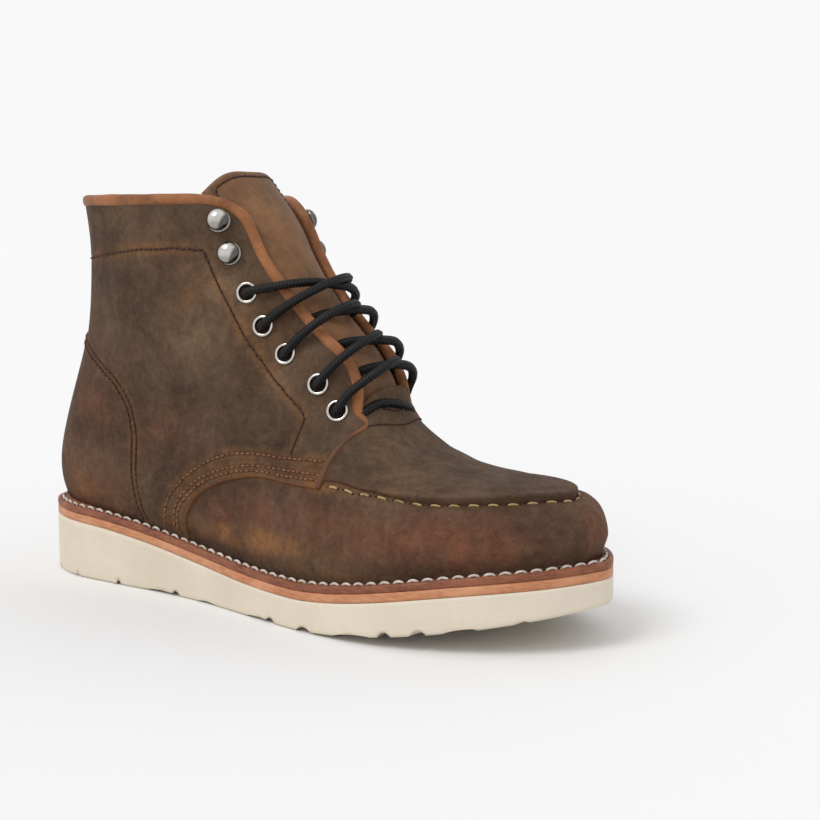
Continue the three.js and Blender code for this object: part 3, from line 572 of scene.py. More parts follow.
# Materials
class Nodes:
    """Short way to build a material's node tree."""

    def __init__(self, name, roughness=0.6, metallic=0.0, sheen=0.0, coat=0.0, specular=0.4):
        self.material = bpy.data.materials.new(name)
        self.material.use_nodes = True
        self.tree = self.material.node_tree
        self.shader = self.tree.nodes["Principled BSDF"]
        for key, value in {"Roughness": roughness, "Metallic": metallic, "Sheen Weight": sheen, "Coat Weight": coat,
                           "Specular IOR Level": specular, "Sheen Roughness": 0.55, "Coat Roughness": 0.4}.items():
            self.shader.inputs[key].default_value = value
        self.space = self.node("ShaderNodeTexCoord").outputs["Object"]
        self.height = None

    def node(self, kind, **settings):
        made = self.tree.nodes.new(kind)
        for key, value in settings.items():
            setattr(made, key, value)
        return made

    def link(self, a, b):
        self.tree.links.new(a, b)

    def feed(self, socket, value):
        if isinstance(value, (int, float)):
            socket.default_value = value
        elif isinstance(value, tuple):
            socket.default_value = (*value, 1)
        else:
            self.link(value, socket)

    def stretched(self, x, y, z):
        mapping = self.node("ShaderNodeMapping")
        self.link(self.space, mapping.inputs["Vector"])
        mapping.inputs["Scale"].default_value = (x, y, z)
        return mapping.outputs["Vector"]

    def noise(self, scale, detail=3.0, rough=0.55, space=None, distortion=0.0):
        made = self.node("ShaderNodeTexNoise")
        self.link(space or self.space, made.inputs["Vector"])
        for key, number in (("Scale", scale), ("Detail", detail), ("Roughness", rough), ("Distortion", distortion)):
            made.inputs[key].default_value = number
        return made.outputs["Fac"]

    def mark(self, name):
        return self.node("ShaderNodeAttribute", attribute_name=name).outputs["Fac"]

    def spread(self, value, low, high, to_low=0.0, to_high=1.0):
        made = self.node("ShaderNodeMapRange")
        self.link(value, made.inputs["Value"])
        for key, number in (("From Min", low), ("From Max", high), ("To Min", to_low), ("To Max", to_high)):
            made.inputs[key].default_value = number
        return made.outputs["Result"]

    def mix(self, share, a, b):
        made = self.node("ShaderNodeMix", data_type="RGBA")
        for place, value in ((0, share), (6, a), (7, b)):
            self.feed(made.inputs[place], value)
        return made.outputs[2]

    def clouded(self, source, low, high, dark, base):
        """First coat: two colours in soft clouds."""
        self.tint = self.mix(self.spread(source, low, high), dark, base)

    def paint(self, source, low, high, share, colour):
        """Next coat: a colour laid on by up to a share, where the source runs from low to high."""
        self.tint = self.mix(self.spread(source, low, high, 0.0, share), self.tint, colour)

    def paint_mark(self, name, source, ends, shares, colour):
        """Next coat where the mesh is marked, broken up by the source."""
        share = self.node("ShaderNodeMath", operation="MULTIPLY", use_clamp=True)
        self.link(self.mark(name), share.inputs[0])
        self.feed(share.inputs[1], self.spread(source, *ends, *shares) if source else shares)
        self.tint = self.mix(share.outputs[0], self.tint, colour)

    def bump(self, height, strength, distance):
        made = self.node("ShaderNodeBump")
        made.inputs["Strength"].default_value = strength
        made.inputs["Distance"].default_value = distance
        self.link(height, made.inputs["Height"])
        if self.height is not None:
            self.link(self.height, made.inputs["Normal"])
        self.height = made.outputs["Normal"]

    def finish(self, roughness, *bumps):
        """Connects the coats, the roughness (source, low, high, least, most) and the bumps."""
        self.link(self.tint, self.shader.inputs["Base Color"])
        if roughness:
            self.link(self.spread(*roughness), self.shader.inputs["Roughness"])
        for height, strength, distance in bumps:
            self.bump(height, strength, distance)
        if bumps:
            self.link(self.height, self.shader.inputs["Normal"])
        return self.material


def nubuck(name, dark, base, warm, tan, pale, dark_patch):
    """Oiled nubuck: cloudy pull-up colour, rubbed tan where marked, short nap."""
    m = Nodes(name, coat=0.01, specular=0.09)
    patches = m.noise(60, 4, 0.6, distortion=0.5)
    brushed = m.noise(70, 6, 0.7, distortion=0.4)
    mottle = m.noise(170, 5, 0.7, distortion=0.6)
    fleck = m.noise(420, 3, 0.6)
    nap = m.noise(1500, 2, 0.5)
    m.clouded(m.noise(24, 5, 0.62, distortion=0.3), 0.36, 0.66, dark, base)
    m.paint_mark("warm", patches, (0.2, 0.55), (), warm)
    m.paint_mark("pale", brushed, (0.25, 0.6), (), pale)
    m.paint_mark("deep", brushed, (0.7, 0.3), (), dark_patch)
    m.paint_mark("rub", brushed, (0.3, 0.6), (), tan)
    # Painted shade where the mesh is marked shade: darkest at the foot of the upper by the welt, with a dark line
    # along each stitch row
    m.paint_mark("shade", patches, (0.2, 0.8), (1.0, 0.75), srgb(33, 23, 18))
    m.paint_mark("raw", fleck, (0.3, 0.7), (0.4, 0.75), srgb(136, 86, 50))
    m.paint(mottle, 0.42, 0.7, 0.26, srgb(46, 34, 27))
    m.paint(mottle, 0.56, 0.3, 0.16, srgb(132, 106, 82))
    m.paint(fleck, 0.3, 0.75, 0.3, srgb(40, 29, 22))
    m.paint(nap, 0.4, 0.75, 0.08, srgb(150, 122, 94))
    return m.finish((patches, 0.3, 0.7, 0.62, 0.8), (m.noise(95, 3, 0.5), 0.25, 0.0016), (mottle, 0.25, 0.0007),
                    (fleck, 0.4, 0.0004), (nap, 0.5, 0.0002))


def smooth_leather(name, dark, base, light, bumpy=0.3):
    """Vegetable-tanned tan leather for the binding, the tongue and the lining."""
    m = Nodes(name, sheen=0.03, coat=0.04, specular=0.25)
    streaks, grain = m.noise(190, 4, 0.65), m.noise(900, 3, 0.6)
    m.clouded(m.noise(45, 4, 0.6, distortion=0.4), 0.34, 0.66, dark, base)
    m.paint(streaks, 0.48, 0.75, 0.5, light)
    m.paint(grain, 0.4, 0.75, 0.25, dark)
    # Painted darker where the mesh is marked shade: on the tongue, painted shade at its root; on the binding, darker
    # towards its low end
    m.paint_mark("shade", None, (), 1.0, srgb(58, 38, 26))
    return m.finish((streaks, 0.3, 0.7, 0.55, 0.72), (streaks, bumpy, 0.0007), (grain, 0.4, 0.0002))


def cut_edge(name, dark, base, light):
    """Trimmed leather edge of the welt and the midsole: fine lengthways fibres, burnished."""
    m = Nodes(name, coat=0.08, specular=0.35)
    fibres, pores = m.noise(420, 4, 0.7, space=m.stretched(0.45, 0.45, 3.2)), m.noise(1300, 2, 0.6)
    m.clouded(fibres, 0.36, 0.66, dark, base)
    m.paint(m.noise(60, 4, 0.6), 0.45, 0.75, 0.6, light)
    m.paint(pores, 0.5, 0.8, 0.35, dark)
    return m.finish((fibres, 0.3, 0.7, 0.5, 0.68), (fibres, 0.45, 0.0004), (pores, 0.3, 0.00015))


def crepe_rubber():
    m = Nodes("crepe", specular=0.35)
    clouds, specks = m.noise(22, 4, 0.6), m.noise(700, 3, 0.6)
    rubs = m.noise(90, 4, 0.7, space=m.stretched(0.4, 0.4, 1.6))
    m.clouded(clouds, 0.35, 0.65, srgb(205, 193, 174), srgb(214, 203, 186))
    m.paint(rubs, 0.56, 0.8, 0.25, srgb(190, 176, 152))
    m.paint(specks, 0.5, 0.8, 0.22, srgb(190, 178, 156))
    m.paint_mark("tread", None, (), 0.55, srgb(190, 172, 140))
    return m.finish((clouds, 0.3, 0.7, 0.66, 0.8), (rubs, 0.12, 0.0006), (specks, 0.3, 0.0002))


def polished_nickel():
    m = Nodes("nickel", metallic=1.0, specular=0.5)
    m.clouded(m.noise(300, 3, 0.5), 0.4, 0.7, srgb(196, 192, 186), srgb(218, 215, 210))
    # Painted reflection and shade: dark where a hook dome is marked, at its rim, on its front side and underneath
    m.tint = m.mix(m.mark("painted_reflection_and_shade"), m.tint, srgb(38, 35, 33))
    return m.finish((m.noise(900, 3, 0.6), 0.35, 0.75, 0.1, 0.2), (m.noise(160, 2, 0.5), 0.1, 0.0003))


def thread(name, dark, base):
    m = Nodes(name, sheen=0.05, specular=0.25)
    fibres = m.noise(1800, 3, 0.6)
    m.clouded(m.noise(260, 3, 0.6), 0.35, 0.7, dark, base)
    return m.finish((fibres, 0.3, 0.7, 0.6, 0.85), (fibres, 0.5, 0.0002))


def braided_cord():
    """The braid is in the mesh, which marks its raised strands. The colour runs from near black in the gaps, painted
    shade, to dark grey on the raised strands, painted highlight.
    """
    m = Nodes("lace_cord", sheen=0.01, specular=0.25)
    fibres = m.noise(2600, 2, 0.6)
    # Painted shade in the braid's gaps and painted highlight on its raised strands
    m.clouded(m.mark("strand"), 0.3, 1.0, srgb(2, 2, 2), srgb(34, 31, 30))
    m.paint(fibres, 0.55, 0.8, 0.25, srgb(44, 41, 40))
    return m.finish((fibres, 0.3, 0.7, 0.42, 0.62), (fibres, 0.4, 0.0002))


# Flat dark discs in needle holes and eyelets: painted shade of the holes
def painted_hole_shade():
    m = Nodes("needle_hole", roughness=0.9, specular=0.1)
    m.clouded(m.noise(900), 0.3, 0.7, srgb(30, 20, 16), srgb(46, 31, 24))
    return m.finish(None)


LEATHER = nubuck("oiled_nubuck", srgb(53, 38, 29), srgb(90, 70, 55), srgb(120, 72, 53), srgb(150, 101, 58),
                 srgb(116, 94, 74), srgb(46, 32, 26))
TAN = smooth_leather("tan_leather", srgb(104, 62, 34), srgb(152, 97, 58), srgb(174, 120, 76))
TONGUE_LEATHER = smooth_leather("tongue_leather", srgb(92, 62, 38), srgb(124, 87, 57), srgb(140, 104, 70), 0.2)
LINING = smooth_leather("lining_leather", srgb(84, 58, 38), srgb(116, 82, 56), srgb(134, 98, 68))
WELT_EDGE = cut_edge("welt_leather", srgb(98, 50, 32), srgb(142, 84, 56), srgb(164, 104, 72))
MIDSOLE_EDGE = cut_edge("midsole_leather", srgb(166, 104, 70), srgb(198, 138, 98), srgb(212, 158, 120))
INSOLE_LEATHER = cut_edge("insole_leather", srgb(140, 100, 70), srgb(176, 132, 98), srgb(190, 150, 114))
CREPE = crepe_rubber()
NICKEL = polished_nickel()
CORD = braided_cord()
BROWN_THREAD = thread("brown_thread", srgb(52, 30, 22), srgb(84, 52, 38))
TAN_THREAD = thread("tan_thread", srgb(96, 60, 38), srgb(142, 96, 62))
MOC_THREAD = thread("moc_thread", srgb(136, 112, 74), srgb(178, 152, 106))
WELT_THREAD = thread("welt_thread", srgb(178, 168, 156), srgb(214, 206, 196))
HOLE_SHADE_PAINT = painted_hole_shade()



def kd_tree(points):
    tree = KDTree(len(points))
    for i, p in enumerate(points):
        tree.insert(p, i)
    tree.balance()
    return tree


# Skin of the whole upper, cut to the welt and the collar
data, tris = skin_grid(340, 140)
data, tris = clip(data, tris, lambda d: d[:, 2] - (welt_top(d[:, 0]) - FOOT_TUCK), lambda d: COLLAR - d[:, 6])
loop = resample(np.vstack([outline_loop(), [[0.0, 0.0]]]), 601)[:-1]
loop_inward = unit(np.roll(loop, -1, axis=0) - np.roll(loop, 1, axis=0))
loop_inward = np.stack([-loop_inward[:, 1], loop_inward[:, 0]], -1)
FEATHER_INSET, FEATHER_HEIGHT = 4.3, 9.0


def tuck(d):
    """Draws the foot of the upper in from the welt's edge, so that the welt's stitches lie beside it."""
    low = np.flatnonzero(d[:, 2] - welt_top(d[:, 0]) < FEATHER_HEIGHT)
    inset = signed_distance(d[low, :2], loop)
    tree = kd_tree(np.column_stack([loop, np.zeros(len(loop))]))
    nearest = np.array([tree.find((*p, 0))[1] for p in d[low, :2]])
    above = d[low, 2] - welt_top(d[low, 0])
    push = np.maximum(0, FEATHER_INSET - inset) * (1 - smoothstep(above / FEATHER_HEIGHT))
    d[low, :2] += loop_inward[nearest] * push[:, None]


tuck(data)


def plug_back(p):
    """Positive in front of the plug's rounded back edge, between the facings."""
    return np.where((p[:, 2] > 70) & (np.abs(p[:, 1]) < 44), p[:, 0] - (197.5 - 0.014 * p[:, 1] ** 2), 50.0)


# Seam lines. Side lines are (x, z), and each runs on both sides of the boot.
COUNTER_LINE = [(6, 118.5), (22, 116), (39, 110), (56, 102), (67, 94), (73.5, 84), (75.5, 74), (75.4, 64),
                (75.6, 54), (77.5, 44), (80.5, 33)]
WING_UPPER = [(187.2, 69.4), (166, 69), (146.3, 69.6), (131, 67.4), (116, 61), (104.8, 52.6),
              (97.4, 43.6), (94.2, 33)]
WING_ROW_A = [(187.0, 64.2), (167.4, 64.1), (147, 64.4), (131.8, 61.6), (118.2, 56.4), (108.9, 49.6),
              (102.8, 42), (100.8, 32.6)]
WING_ROW_B = [(187.2, 62.0), (167.6, 61.8), (147.3, 62.2), (131.2, 59.2), (119.6, 54.6), (110.9, 48.2),
              (104.9, 41.0), (103.0, 31.6)]
BAND_LINE = [(-2, 149.8), (20, 151.4), (45, 153.1), (69, 156.2), (90, 157.6), (104.8, 158.1), (117.6, 157.3)]
FACING_STITCH = [(118.3, 156.6), (123.8, 145.2), (132.6, 129.9), (138.9, 119.4), (149.2, 108.1), (162.3, 95.9),
                 (169.6, 89.6), (171.6, 86), (170.6, 81.6), (169.2, 76), (167.9, 70.6)]


def struck(tree, starts, way):
    """Points where rays of one direction meet a mesh, without the ones that miss."""
    hits = [tree.ray_cast(Vector(start), Vector(way))[0] for start in starts]
    return np.array([list(hit) for hit in hits if hit is not None])


def side_line(rows, side, tree):
    return struck(tree, [(x, side * 200, z) for x, z in smooth_line(rows, 160)], (0, -side, 0))


def round_back(rows, tree):
    """One line from the inner side round the heel's back to the outer side."""
    inner, outer = side_line(rows, 1, tree), side_line(rows, -1, tree)
    z = (inner[0, 2] + outer[0, 2]) / 2
    back = struck(tree, [(-100, y, z) for y in np.linspace(inner[0, 1], outer[0, 1], 40)[1:-1]], (1, 0, 0))
    return resample(np.vstack([inner[::-1], back, outer]), 380)


def distance_to(points, line):
    """Distance of many points to a dense line, through Blender's k-d tree."""
    tree = kd_tree(line)
    return np.array([tree.find(p)[2] for p in points])


base_tree = BVHTree.FromPolygons(data[:, :3].tolist(), tris.tolist())
seams = {}
for side, word in ((-1, "outer"), (1, "inner")):
    for key, rows in (("wing_upper_", WING_UPPER), ("wing_a_", WING_ROW_A), ("wing_b_", WING_ROW_B),
                      ("facing_", FACING_STITCH)):
        seams[key + word] = side_line(rows, side, base_tree)
seams["counter_round"] = round_back(COUNTER_LINE[1:], base_tree)
seams["band_round"] = round_back([(30, 152), *BAND_LINE[2:]], base_tree)
DOWN = (0, 0, -1)
plug_rim = struck(base_tree, [(x, y, 300) for x, y in resample(seam_line, 260)], DOWN)
all_seams = np.vstack(list(seams.values()))


# Troughs: centre x, y side, centre z, direction (dx, dz), length, width, depth
CREASES = [
    (98, -1, 88, (0.86, 0.50), 34, 9, -0.55), (86, -1, 66, (0.95, -0.30), 30, 10, -0.4),
    (60, -1, 128, (0.97, 0.22), 34, 11, -0.45), (104, -1, 120, (0.50, 0.86), 30, 10, 0.45),
    (92, 1, 90, (0.90, 0.44), 36, 9, -0.6), (62, 1, 126, (0.97, -0.2), 34, 11, -0.5),
    (110, 1, 112, (0.6, 0.8), 28, 10, 0.45), (150, -1, 82, (0.8, -0.6), 30, 10, -0.35),
    (212, -1, 52, (0.9, -0.42), 26, 8, -0.3), (206, 1, 52, (0.9, -0.42), 28, 8, -0.35),
]


def hand_forms(p):
    out = np.zeros(len(p))
    for cx, side, cz, (dx, dz), length, width, depth in CREASES:
        u = (p[:, 0] - cx) * dx + (p[:, 2] - cz) * dz
        v = -(p[:, 0] - cx) * dz + (p[:, 2] - cz) * dx + 0.012 * u**2
        out += np.where(p[:, 1] * side > 4, depth * bump(u, 0, length) * bump(v, 0, width), 0)
    # Vamp flex: two shallow troughs over the top behind the plug's middle
    for x, depth in ((214, -0.45), (226, -0.3)):
        out += depth * bump(p[:, 0] + 0.004 * p[:, 1] ** 2, x, 4.5) * (p[:, 2] > 50)
    return out


# Colour marks: x, side, z, reach along, reach up, strength. Rubs are the tan pull-up of the leather.
TONES = {"rub": [
    (150, -1, 33, 36, 5, 0.95), (196, -1, 26, 34, 4, 0.45), (62, -1, 36, 12, 7, 0.35), (36, -1, 40, 12, 7, 0.5),
    (196, -1, 60, 20, 2.5, 0.5), (150, 1, 33, 36, 5, 0.8), (96, -1, 158, 14, 4, 0.25), (140, -1, 126, 8, 12, 0.28),
    (36, 1, 40, 12, 7, 0.45), (196, 1, 26, 34, 4, 0.4), (150, -1, 118, 12, 16, 0.2), (112, -1, 140, 8, 14, 0.2),
], "warm": [
    (255, -1, 42, 30, 12, 0.95), (225, -1, 44, 34, 12, 0.55), (190, -1, 46, 30, 10, 0.5), (285, 1, 44, 24, 14, 0.8),
    (150, -1, 42, 30, 12, 0.55), (40, -1, 46, 26, 20, 0.55), (50, -1, 86, 20, 14, 0.45), (96, -1, 74, 20, 12, 0.3),
    (255, 1, 42, 30, 12, 0.8), (200, 1, 44, 40, 14, 0.5), (50, 1, 80, 24, 20, 0.5), (30, -1, 120, 14, 20, 0.3),
], "pale": [
    (116, -1, 120, 20, 18, 0.85), (128, -1, 140, 12, 22, 0.9), (60, -1, 175, 40, 10, 0.35), (190, -1, 86, 8, 8, 0.5),
    (215, -1, 80, 22, 20, 0.5), (250, -1, 66, 14, 10, 0.4), (160, -1, 104, 14, 12, 0.6), (40, -1, 60, 16, 12, 0.35),
    (116, 1, 120, 20, 18, 0.7), (128, 1, 140, 12, 22, 0.7), (215, 1, 80, 22, 20, 0.5), (60, 1, 70, 18, 14, 0.4),
], "deep": [
    (74, -1, 92, 20, 14, 0.95), (82, -1, 112, 16, 16, 0.6), (126, -1, 76, 24, 8, 0.5), (56, -1, 136, 16, 12, 0.35),
    (200, -1, 44, 18, 7, 0.3), (240, -1, 38, 16, 5, 0.2), (30, -1, 96, 8, 20, 0.4), (276, -1, 64, 12, 6, 0.5),
    (90, 1, 100, 26, 16, 0.7), (60, 1, 140, 18, 14, 0.4), (180, 1, 44, 26, 8, 0.5), (258, 1, 40, 16, 6, 0.4),
]}


def blobs(p, rows):
    out = np.zeros(len(p))
    for x, side, z, along, up, strength in rows:
        near = strength * bump(p[:, 0], x, along) * bump(p[:, 2], z, up)
        out = np.maximum(out, np.where(p[:, 1] * side > -6, near, near * 0.2))
    return out


def leather_marks(p, raw):
    seam = distance_to(p, all_seams)
    above = p[:, 2] - welt_top(p[:, 0])
    # Painted shade at the foot of the upper, fading within a few mm above the welt, plus a dark line along each
    # stitch row
    shade = 0.7 * np.exp(-clamp(above, 0, 99) / 5) + 0.45 * bump(seam, 0, 1.2)
    marks = {key: clamp(blobs(p, rows), 0, 1) for key, rows in TONES.items()}
    marks["rub"] = clamp(blobs(p, TONES["rub"]) + 0.32 * bump(seam, 2.0, 1.5), 0, 1)
    return {**marks, "raw": raw, "shade": clamp(shade, 0, 1)}


def relief(d):
    """Soft forms and stitch grooves, as an extra lift in mm."""
    groove = -0.34 * bump(distance_to(d[:, :3], all_seams), 0, 0.95)
    counter = signed_distance(d[:, [0, 2]], np.vstack([smooth_line(COUNTER_LINE, 80), [(-60, 33), (-60, 118)]]))
    return groove + hand_forms(d[:, :3]) + 0.4 * smoothstep(counter / 2.4 + 1.2)


vamp_data, vamp_tris = clip(data, tris, lambda d: UNDER_WING - wing_field(d), lambda d: UNDER_PLUG - plug_field(d))
rim_distance = distance_to(vamp_data[:, :3], plug_rim)
pinch = -0.5 * bump(rim_distance, 0, 1.8) + 0.5 * bump(rim_distance, 5.0, 3.0)
vamp_lift = hand_forms(vamp_data[:, :3]) + pinch * smoothstep((vamp_data[:, 0] - 180) / 20)
points, faces, edge = with_edge(vamp_data, vamp_tris, vamp_lift, [(0.1, 0, -0.8)], fair=2)
make_piece("vamp", points, faces, LEATHER, ["upper"], "upper", leather_marks(points, edge * 0))
vamp = points, faces

plug_data, plug_tris = clip(data, tris, lambda d: plug_field(d) - PLUG_LIP, plug_back)
rim_distance = distance_to(plug_data[:, :3], plug_rim)
plug_tops = plug_lift(plug_data[:, 0]) + hand_forms(plug_data[:, :3])
plug_tops += -0.5 * bump(rim_distance, 5.6, 2.4) * smoothstep((plug_data[:, 0] - 190) / 20)
points, faces, edge = with_edge(plug_data, plug_tris, plug_tops,
                                [(0.3, 0.15, None), (0.6, 0.5, None), (0.75, 1.1, None), (0.7, 0, -0.6)])
make_piece("plug", points, faces, LEATHER, ["upper"], "upper", leather_marks(points, edge * 0))
plug = points, faces

quarter_data, quarter_tris = clip(
    data, tris, lambda d: rim_field(d) - binding_inset(d[:, 2]) - 0.8, lambda d: wing_field(d) - 0.6)
quarter_lift = QUARTER_STEP + relief(quarter_data)
raw_profile = [(0.3, 0.1, None), (0.62, 0.42, None), (0.85, 1.0, None), (0.95, 0, 0.0), (0.9, 0, -WALL)]
points, faces, edge = with_edge(quarter_data, quarter_tris, quarter_lift, raw_profile)
near_wing = (points[:, 2] < 63).astype(float)
make_piece("quarters", points, faces, LEATHER, ["upper"], "upper", leather_marks(points, edge * near_wing))
quarters = points, faces
quarter_tree = mesh_tree(quarters)

# Lining inside
inner_data, inner_tris = clip(
    *skin_grid(130, 60), lambda d: COLLAR - BINDING * 0.6 - d[:, 6],
    lambda d: np.where(d[:, 6] > THROAT_BASE, rim_field(d) - 2.0, 50.0),
    lambda d: d[:, 2] - midsole_top(d[:, 0]) - 2)
tuck(inner_data)
inner_points = inner_data[:, :3] - inner_data[:, 3:6] * WALL
make_piece("lining", inner_points, inner_tris[:, ::-1], LINING, ["upper"], "upper")


# Binding round the collar, down both facings and on along the quarters' front edges
def binding_line():
    d, t = clip(data, tris, lambda d: rim_field(d) - binding_inset(d[:, 2]), lambda d: wing_field(d) - 0.4)
    ring = max(edge_loops(t), key=len)
    on = np.abs(rim_field(d[ring]) - binding_inset(d[ring, 2])) < 0.25
    gap_at = np.flatnonzero(~on)
    start = gap_at[np.argmax(np.diff(np.concatenate([gap_at, [gap_at[0] + len(ring)]])))]
    run = []
    for k in range(1, len(ring)):
        v = ring[(start + k) % len(ring)]
        if not on[(start + k) % len(ring)]:
            break
        run.append(v)
    line = smooth_open(resample(d[run][:, :6], 900), 14)
    return line[:, :3], unit(line[:, 3:6])


binding_path, binding_normals = binding_line()
binding_path = binding_path + binding_normals * (QUARTER_STEP - WALL + 0.5) / 2
wobble = 1 + 0.03 * np.sin(np.arange(900) / 9.0) + 0.02 * np.sin(np.arange(900) / 3.7)
binding_radius = (binding_inset(binding_path[:, 2]) + 0.15) * wobble
points, faces = tube_mesh(binding_path, binding_radius, 20, binding_normals, squash=0.95, boxy=2.5)
make_piece("binding", points, faces, TAN, ["collar_binding"], "binding",
           {"shade": 0.72 * (1 - smoothstep((points[:, 2] - 78) / 10))})


# Tongue: two skins with a rounded rim, wider to the outer side
def make_tongue():
    start, end = THROAT_BASE - 12, END - 1.2
    rows, columns = 170, 70
    t = np.linspace(0, 1, rows)[:, None]
    w = np.linspace(-1, 1, columns)[None, :]

    width = TONGUE_BASE + (TONGUE_TOP - TONGUE_BASE) * t
    y = -TONGUE_DRIFT + width / 2 * w
    drop = np.where(w < 0, 17 * np.abs(w) ** 2.4, 9 * np.abs(w) ** 7)
    place = start + (end - drop - start) * t
    rim = np.minimum((1 - np.abs(w)) * width / 2, (1 - t) * (end - start))
    puff = 1.0 - 0.9 * np.exp(-rim / 0.9)
    stitch = -0.4 * bump(rim, 3.4, 0.9) * (t > 0.3)
    wave = 0.5 * np.sin(place / 9.0 + 0.12 * y) * smoothstep((0.75 - t) / 0.3)
    middle = -WALL - TONGUE_CLEAR - TONGUE_THICK / 2
    angle = front_angle(place, y)
    point, normal = last_point(place, angle), last_normal(place, angle)
    outside = middle + (TONGUE_THICK / 2 + stitch + wave * 0.4) * puff
    inside = middle - (TONGUE_THICK / 2 - wave * 0.4) * puff
    points = np.vstack([(point + normal * outside[..., None]).reshape(-1, 3),
                        (point + normal * inside[..., None]).reshape(-1, 3)])
    quad = grid_faces(rows, columns, closed=False)
    ids = np.arange(rows * columns).reshape(rows, columns)
    rim_ids = np.concatenate([ids[0], ids[1:, -1], ids[-1, -2::-1], ids[-2:0:-1, 0]])
    other = rim_ids + rows * columns
    wall = np.stack([rim_ids, other, np.roll(other, -1), np.roll(rim_ids, -1)], -1)
    # Painted shade at the tongue's root under the plug's back edge, and a dark line along its stitch row; both go to
    # the shade mark
    deep = 0.8 * bump(t * (end - start), 0, 26) + 0 * w
    deep = np.maximum(deep, 0.75 * bump(rim, 3.4, 0.75) * (t > 0.3))
    grid = points[:rows * columns].reshape(rows, columns, 3)
    inset = [int(columns * 3.6 / v) for v in width[:, 0]]
    left = [grid[r, inset[r]] for r in range(74, rows - 8, 6)]
    right = [grid[r, columns - 1 - inset[r]] for r in range(rows - 8, 74, -6)]
    top = [grid[rows - 4, c] for c in range(inset[-1] + 2, columns - inset[-1] - 1, 4)]
    border = smooth_line([*left, *top, *right], 300)
    faces = np.vstack([quad, quad[:, ::-1] + rows * columns, wall])
    return points, faces, np.concatenate([deep.ravel()] * 2), border


points, faces, deep, tongue_border = make_tongue()
make_piece("tongue_leather", points, faces, TONGUE_LEATHER, ["tongue"], "tongue", {"shade": deep})
tongue_tree = mesh_tree((points, faces))


# Sole layers, as rows of loops round the outline
def loop_rows(profile):
    """Rows of points from (pull inwards, height function, rise)."""
    rows = []
    for pull, height, rise in profile:
        at = loop + loop_inward * pull
        rows.append(np.column_stack([at, height(at[:, 0]) + rise]))
    return np.vstack(rows), grid_faces(len(rows), len(loop))


WELT_PROFILE = [
    (12, midsole_top, GAP), (0.5, midsole_top, GAP), (0.1, midsole_top, GAP + 0.4), (0.0, midsole_top, GAP + 1.1),
    (0.05, welt_top, -0.8), (0.35, welt_top, -0.2), (0.9, welt_top, 0.0), (1.9, welt_top, -0.05),
    (2.5, welt_top, -0.45), (3.2, welt_top, -0.45), (3.8, welt_top, 0.0), (6, welt_top, 0.1), (12, welt_top, 0.1),
]
MIDSOLE_PROFILE = [
    (12, crepe_top, 0.1), (0.5, crepe_top, 0.1), (0.12, crepe_top, 0.35), (0.05, crepe_top, 1.2),
    (0.05, midsole_top, -0.9), (0.15, midsole_top, -0.1), (0.5, midsole_top, 0.25), (12, midsole_top, 0.25),
]
make_piece("welt_strip", *loop_rows(WELT_PROFILE), WELT_EDGE, ["welt"], "welt")
make_piece("midsole_layer", *loop_rows(MIDSOLE_PROFILE), MIDSOLE_EDGE, ["midsole"], "midsole")

# Tread grooves: centre x, width, depth, reach in from the edge (0 is right across)
TREAD = [
    (65, 4.0, 2.2, 0), (102, 5.5, 2.4, 0), (93, 24, 1.3, 10), (123, 13, 1.2, 11), (167, 7, 2.4, 0),
    (160, 20, 1.3, 11), (187.5, 8.5, 2.2, 9), (213, 18, 1.3, 11), (229, 6, 2.3, 0), (243.5, 7, 2.1, 9),
    (260, 14, 1.2, 10),
    (36, 3, 1.6, 0), (18, 4, 1.4, 9), (280, 5, 1.2, 0),
]


def make_crepe():
    stations, across, up = 520, 90, 10
    xs = SOLE_LENGTH * (1 - np.cos(np.linspace(0.012, math.pi - 0.012, stations))) / 2
    dense = outline_loop()
    dense = np.roll(dense, -int(np.argmin(dense[:, 0])), axis=0)
    turn = int(np.argmax(dense[:, 0]))
    outer, inner = dense[:turn + 1], np.vstack([dense[turn:], dense[:1]])[::-1]
    y_outer, y_inner = np.interp(xs, outer[:, 0], outer[:, 1]), np.interp(xs, inner[:, 0], inner[:, 1])
    w = (1 - np.cos(np.linspace(0, math.pi, across))) / 2
    rows, marks = [], []
    for x, y0, y1 in zip(xs, y_outer, y_inner):
        ys = y0 + (y1 - y0) * w
        edge = np.minimum(ys - y0, y1 - ys)
        cut = np.zeros(across)
        for centre, width, depth, reach in TREAD:
            sway = 2.2 * np.sin(ys / 9.0 + centre)
            form = np.clip(1 - ((x - centre - sway * (edge > 1)) / (width / 2)) ** 2, 0, 1) ** 0.6
            inwards = 1.0 if reach == 0 else 1 - smoothstep((edge - reach + 3) / 3)
            cut = np.maximum(cut, depth * form * inwards)
        middle = smoothstep((edge - 12) / 4)
        ripple = np.clip(np.sin(x / 3.4 + 0.9 * np.sin(ys / 7)) * 1.6 - 0.4, 0, 1)
        lugs = 1.4 * ripple * middle * (np.abs(x - 140) < 128)
        cut = np.maximum(cut, lugs)
        corner = 1.3 * (1 - np.sqrt(np.clip(1 - (1 - np.clip(edge / 1.6, 0, 1)) ** 2, 0, 1)))
        bottom = float(sole_bottom(x)) + np.maximum(cut, corner)
        right, left = (np.linspace(z, float(crepe_top(x)), up + 1)[1:] for z in (bottom[-1], bottom[0]))
        ring_y = np.concatenate([ys, np.full(up, y1), np.full(up, y0)])
        ring_z = np.concatenate([bottom, right, left[::-1]])
        rows.append(np.column_stack([np.full(across + 2 * up, x), ring_y, ring_z]))
        marks.append(np.concatenate([clamp(cut / 2, 0.25, 1), np.zeros(2 * up)]))
    return np.vstack(rows), grid_faces(stations, across + 2 * up, ends=True), np.concatenate(marks)


points, faces, tread_marks = make_crepe()
make_piece("crepe_wedge", points, faces, CREPE, ["outsole"], "outsole", {"tread": tread_marks})

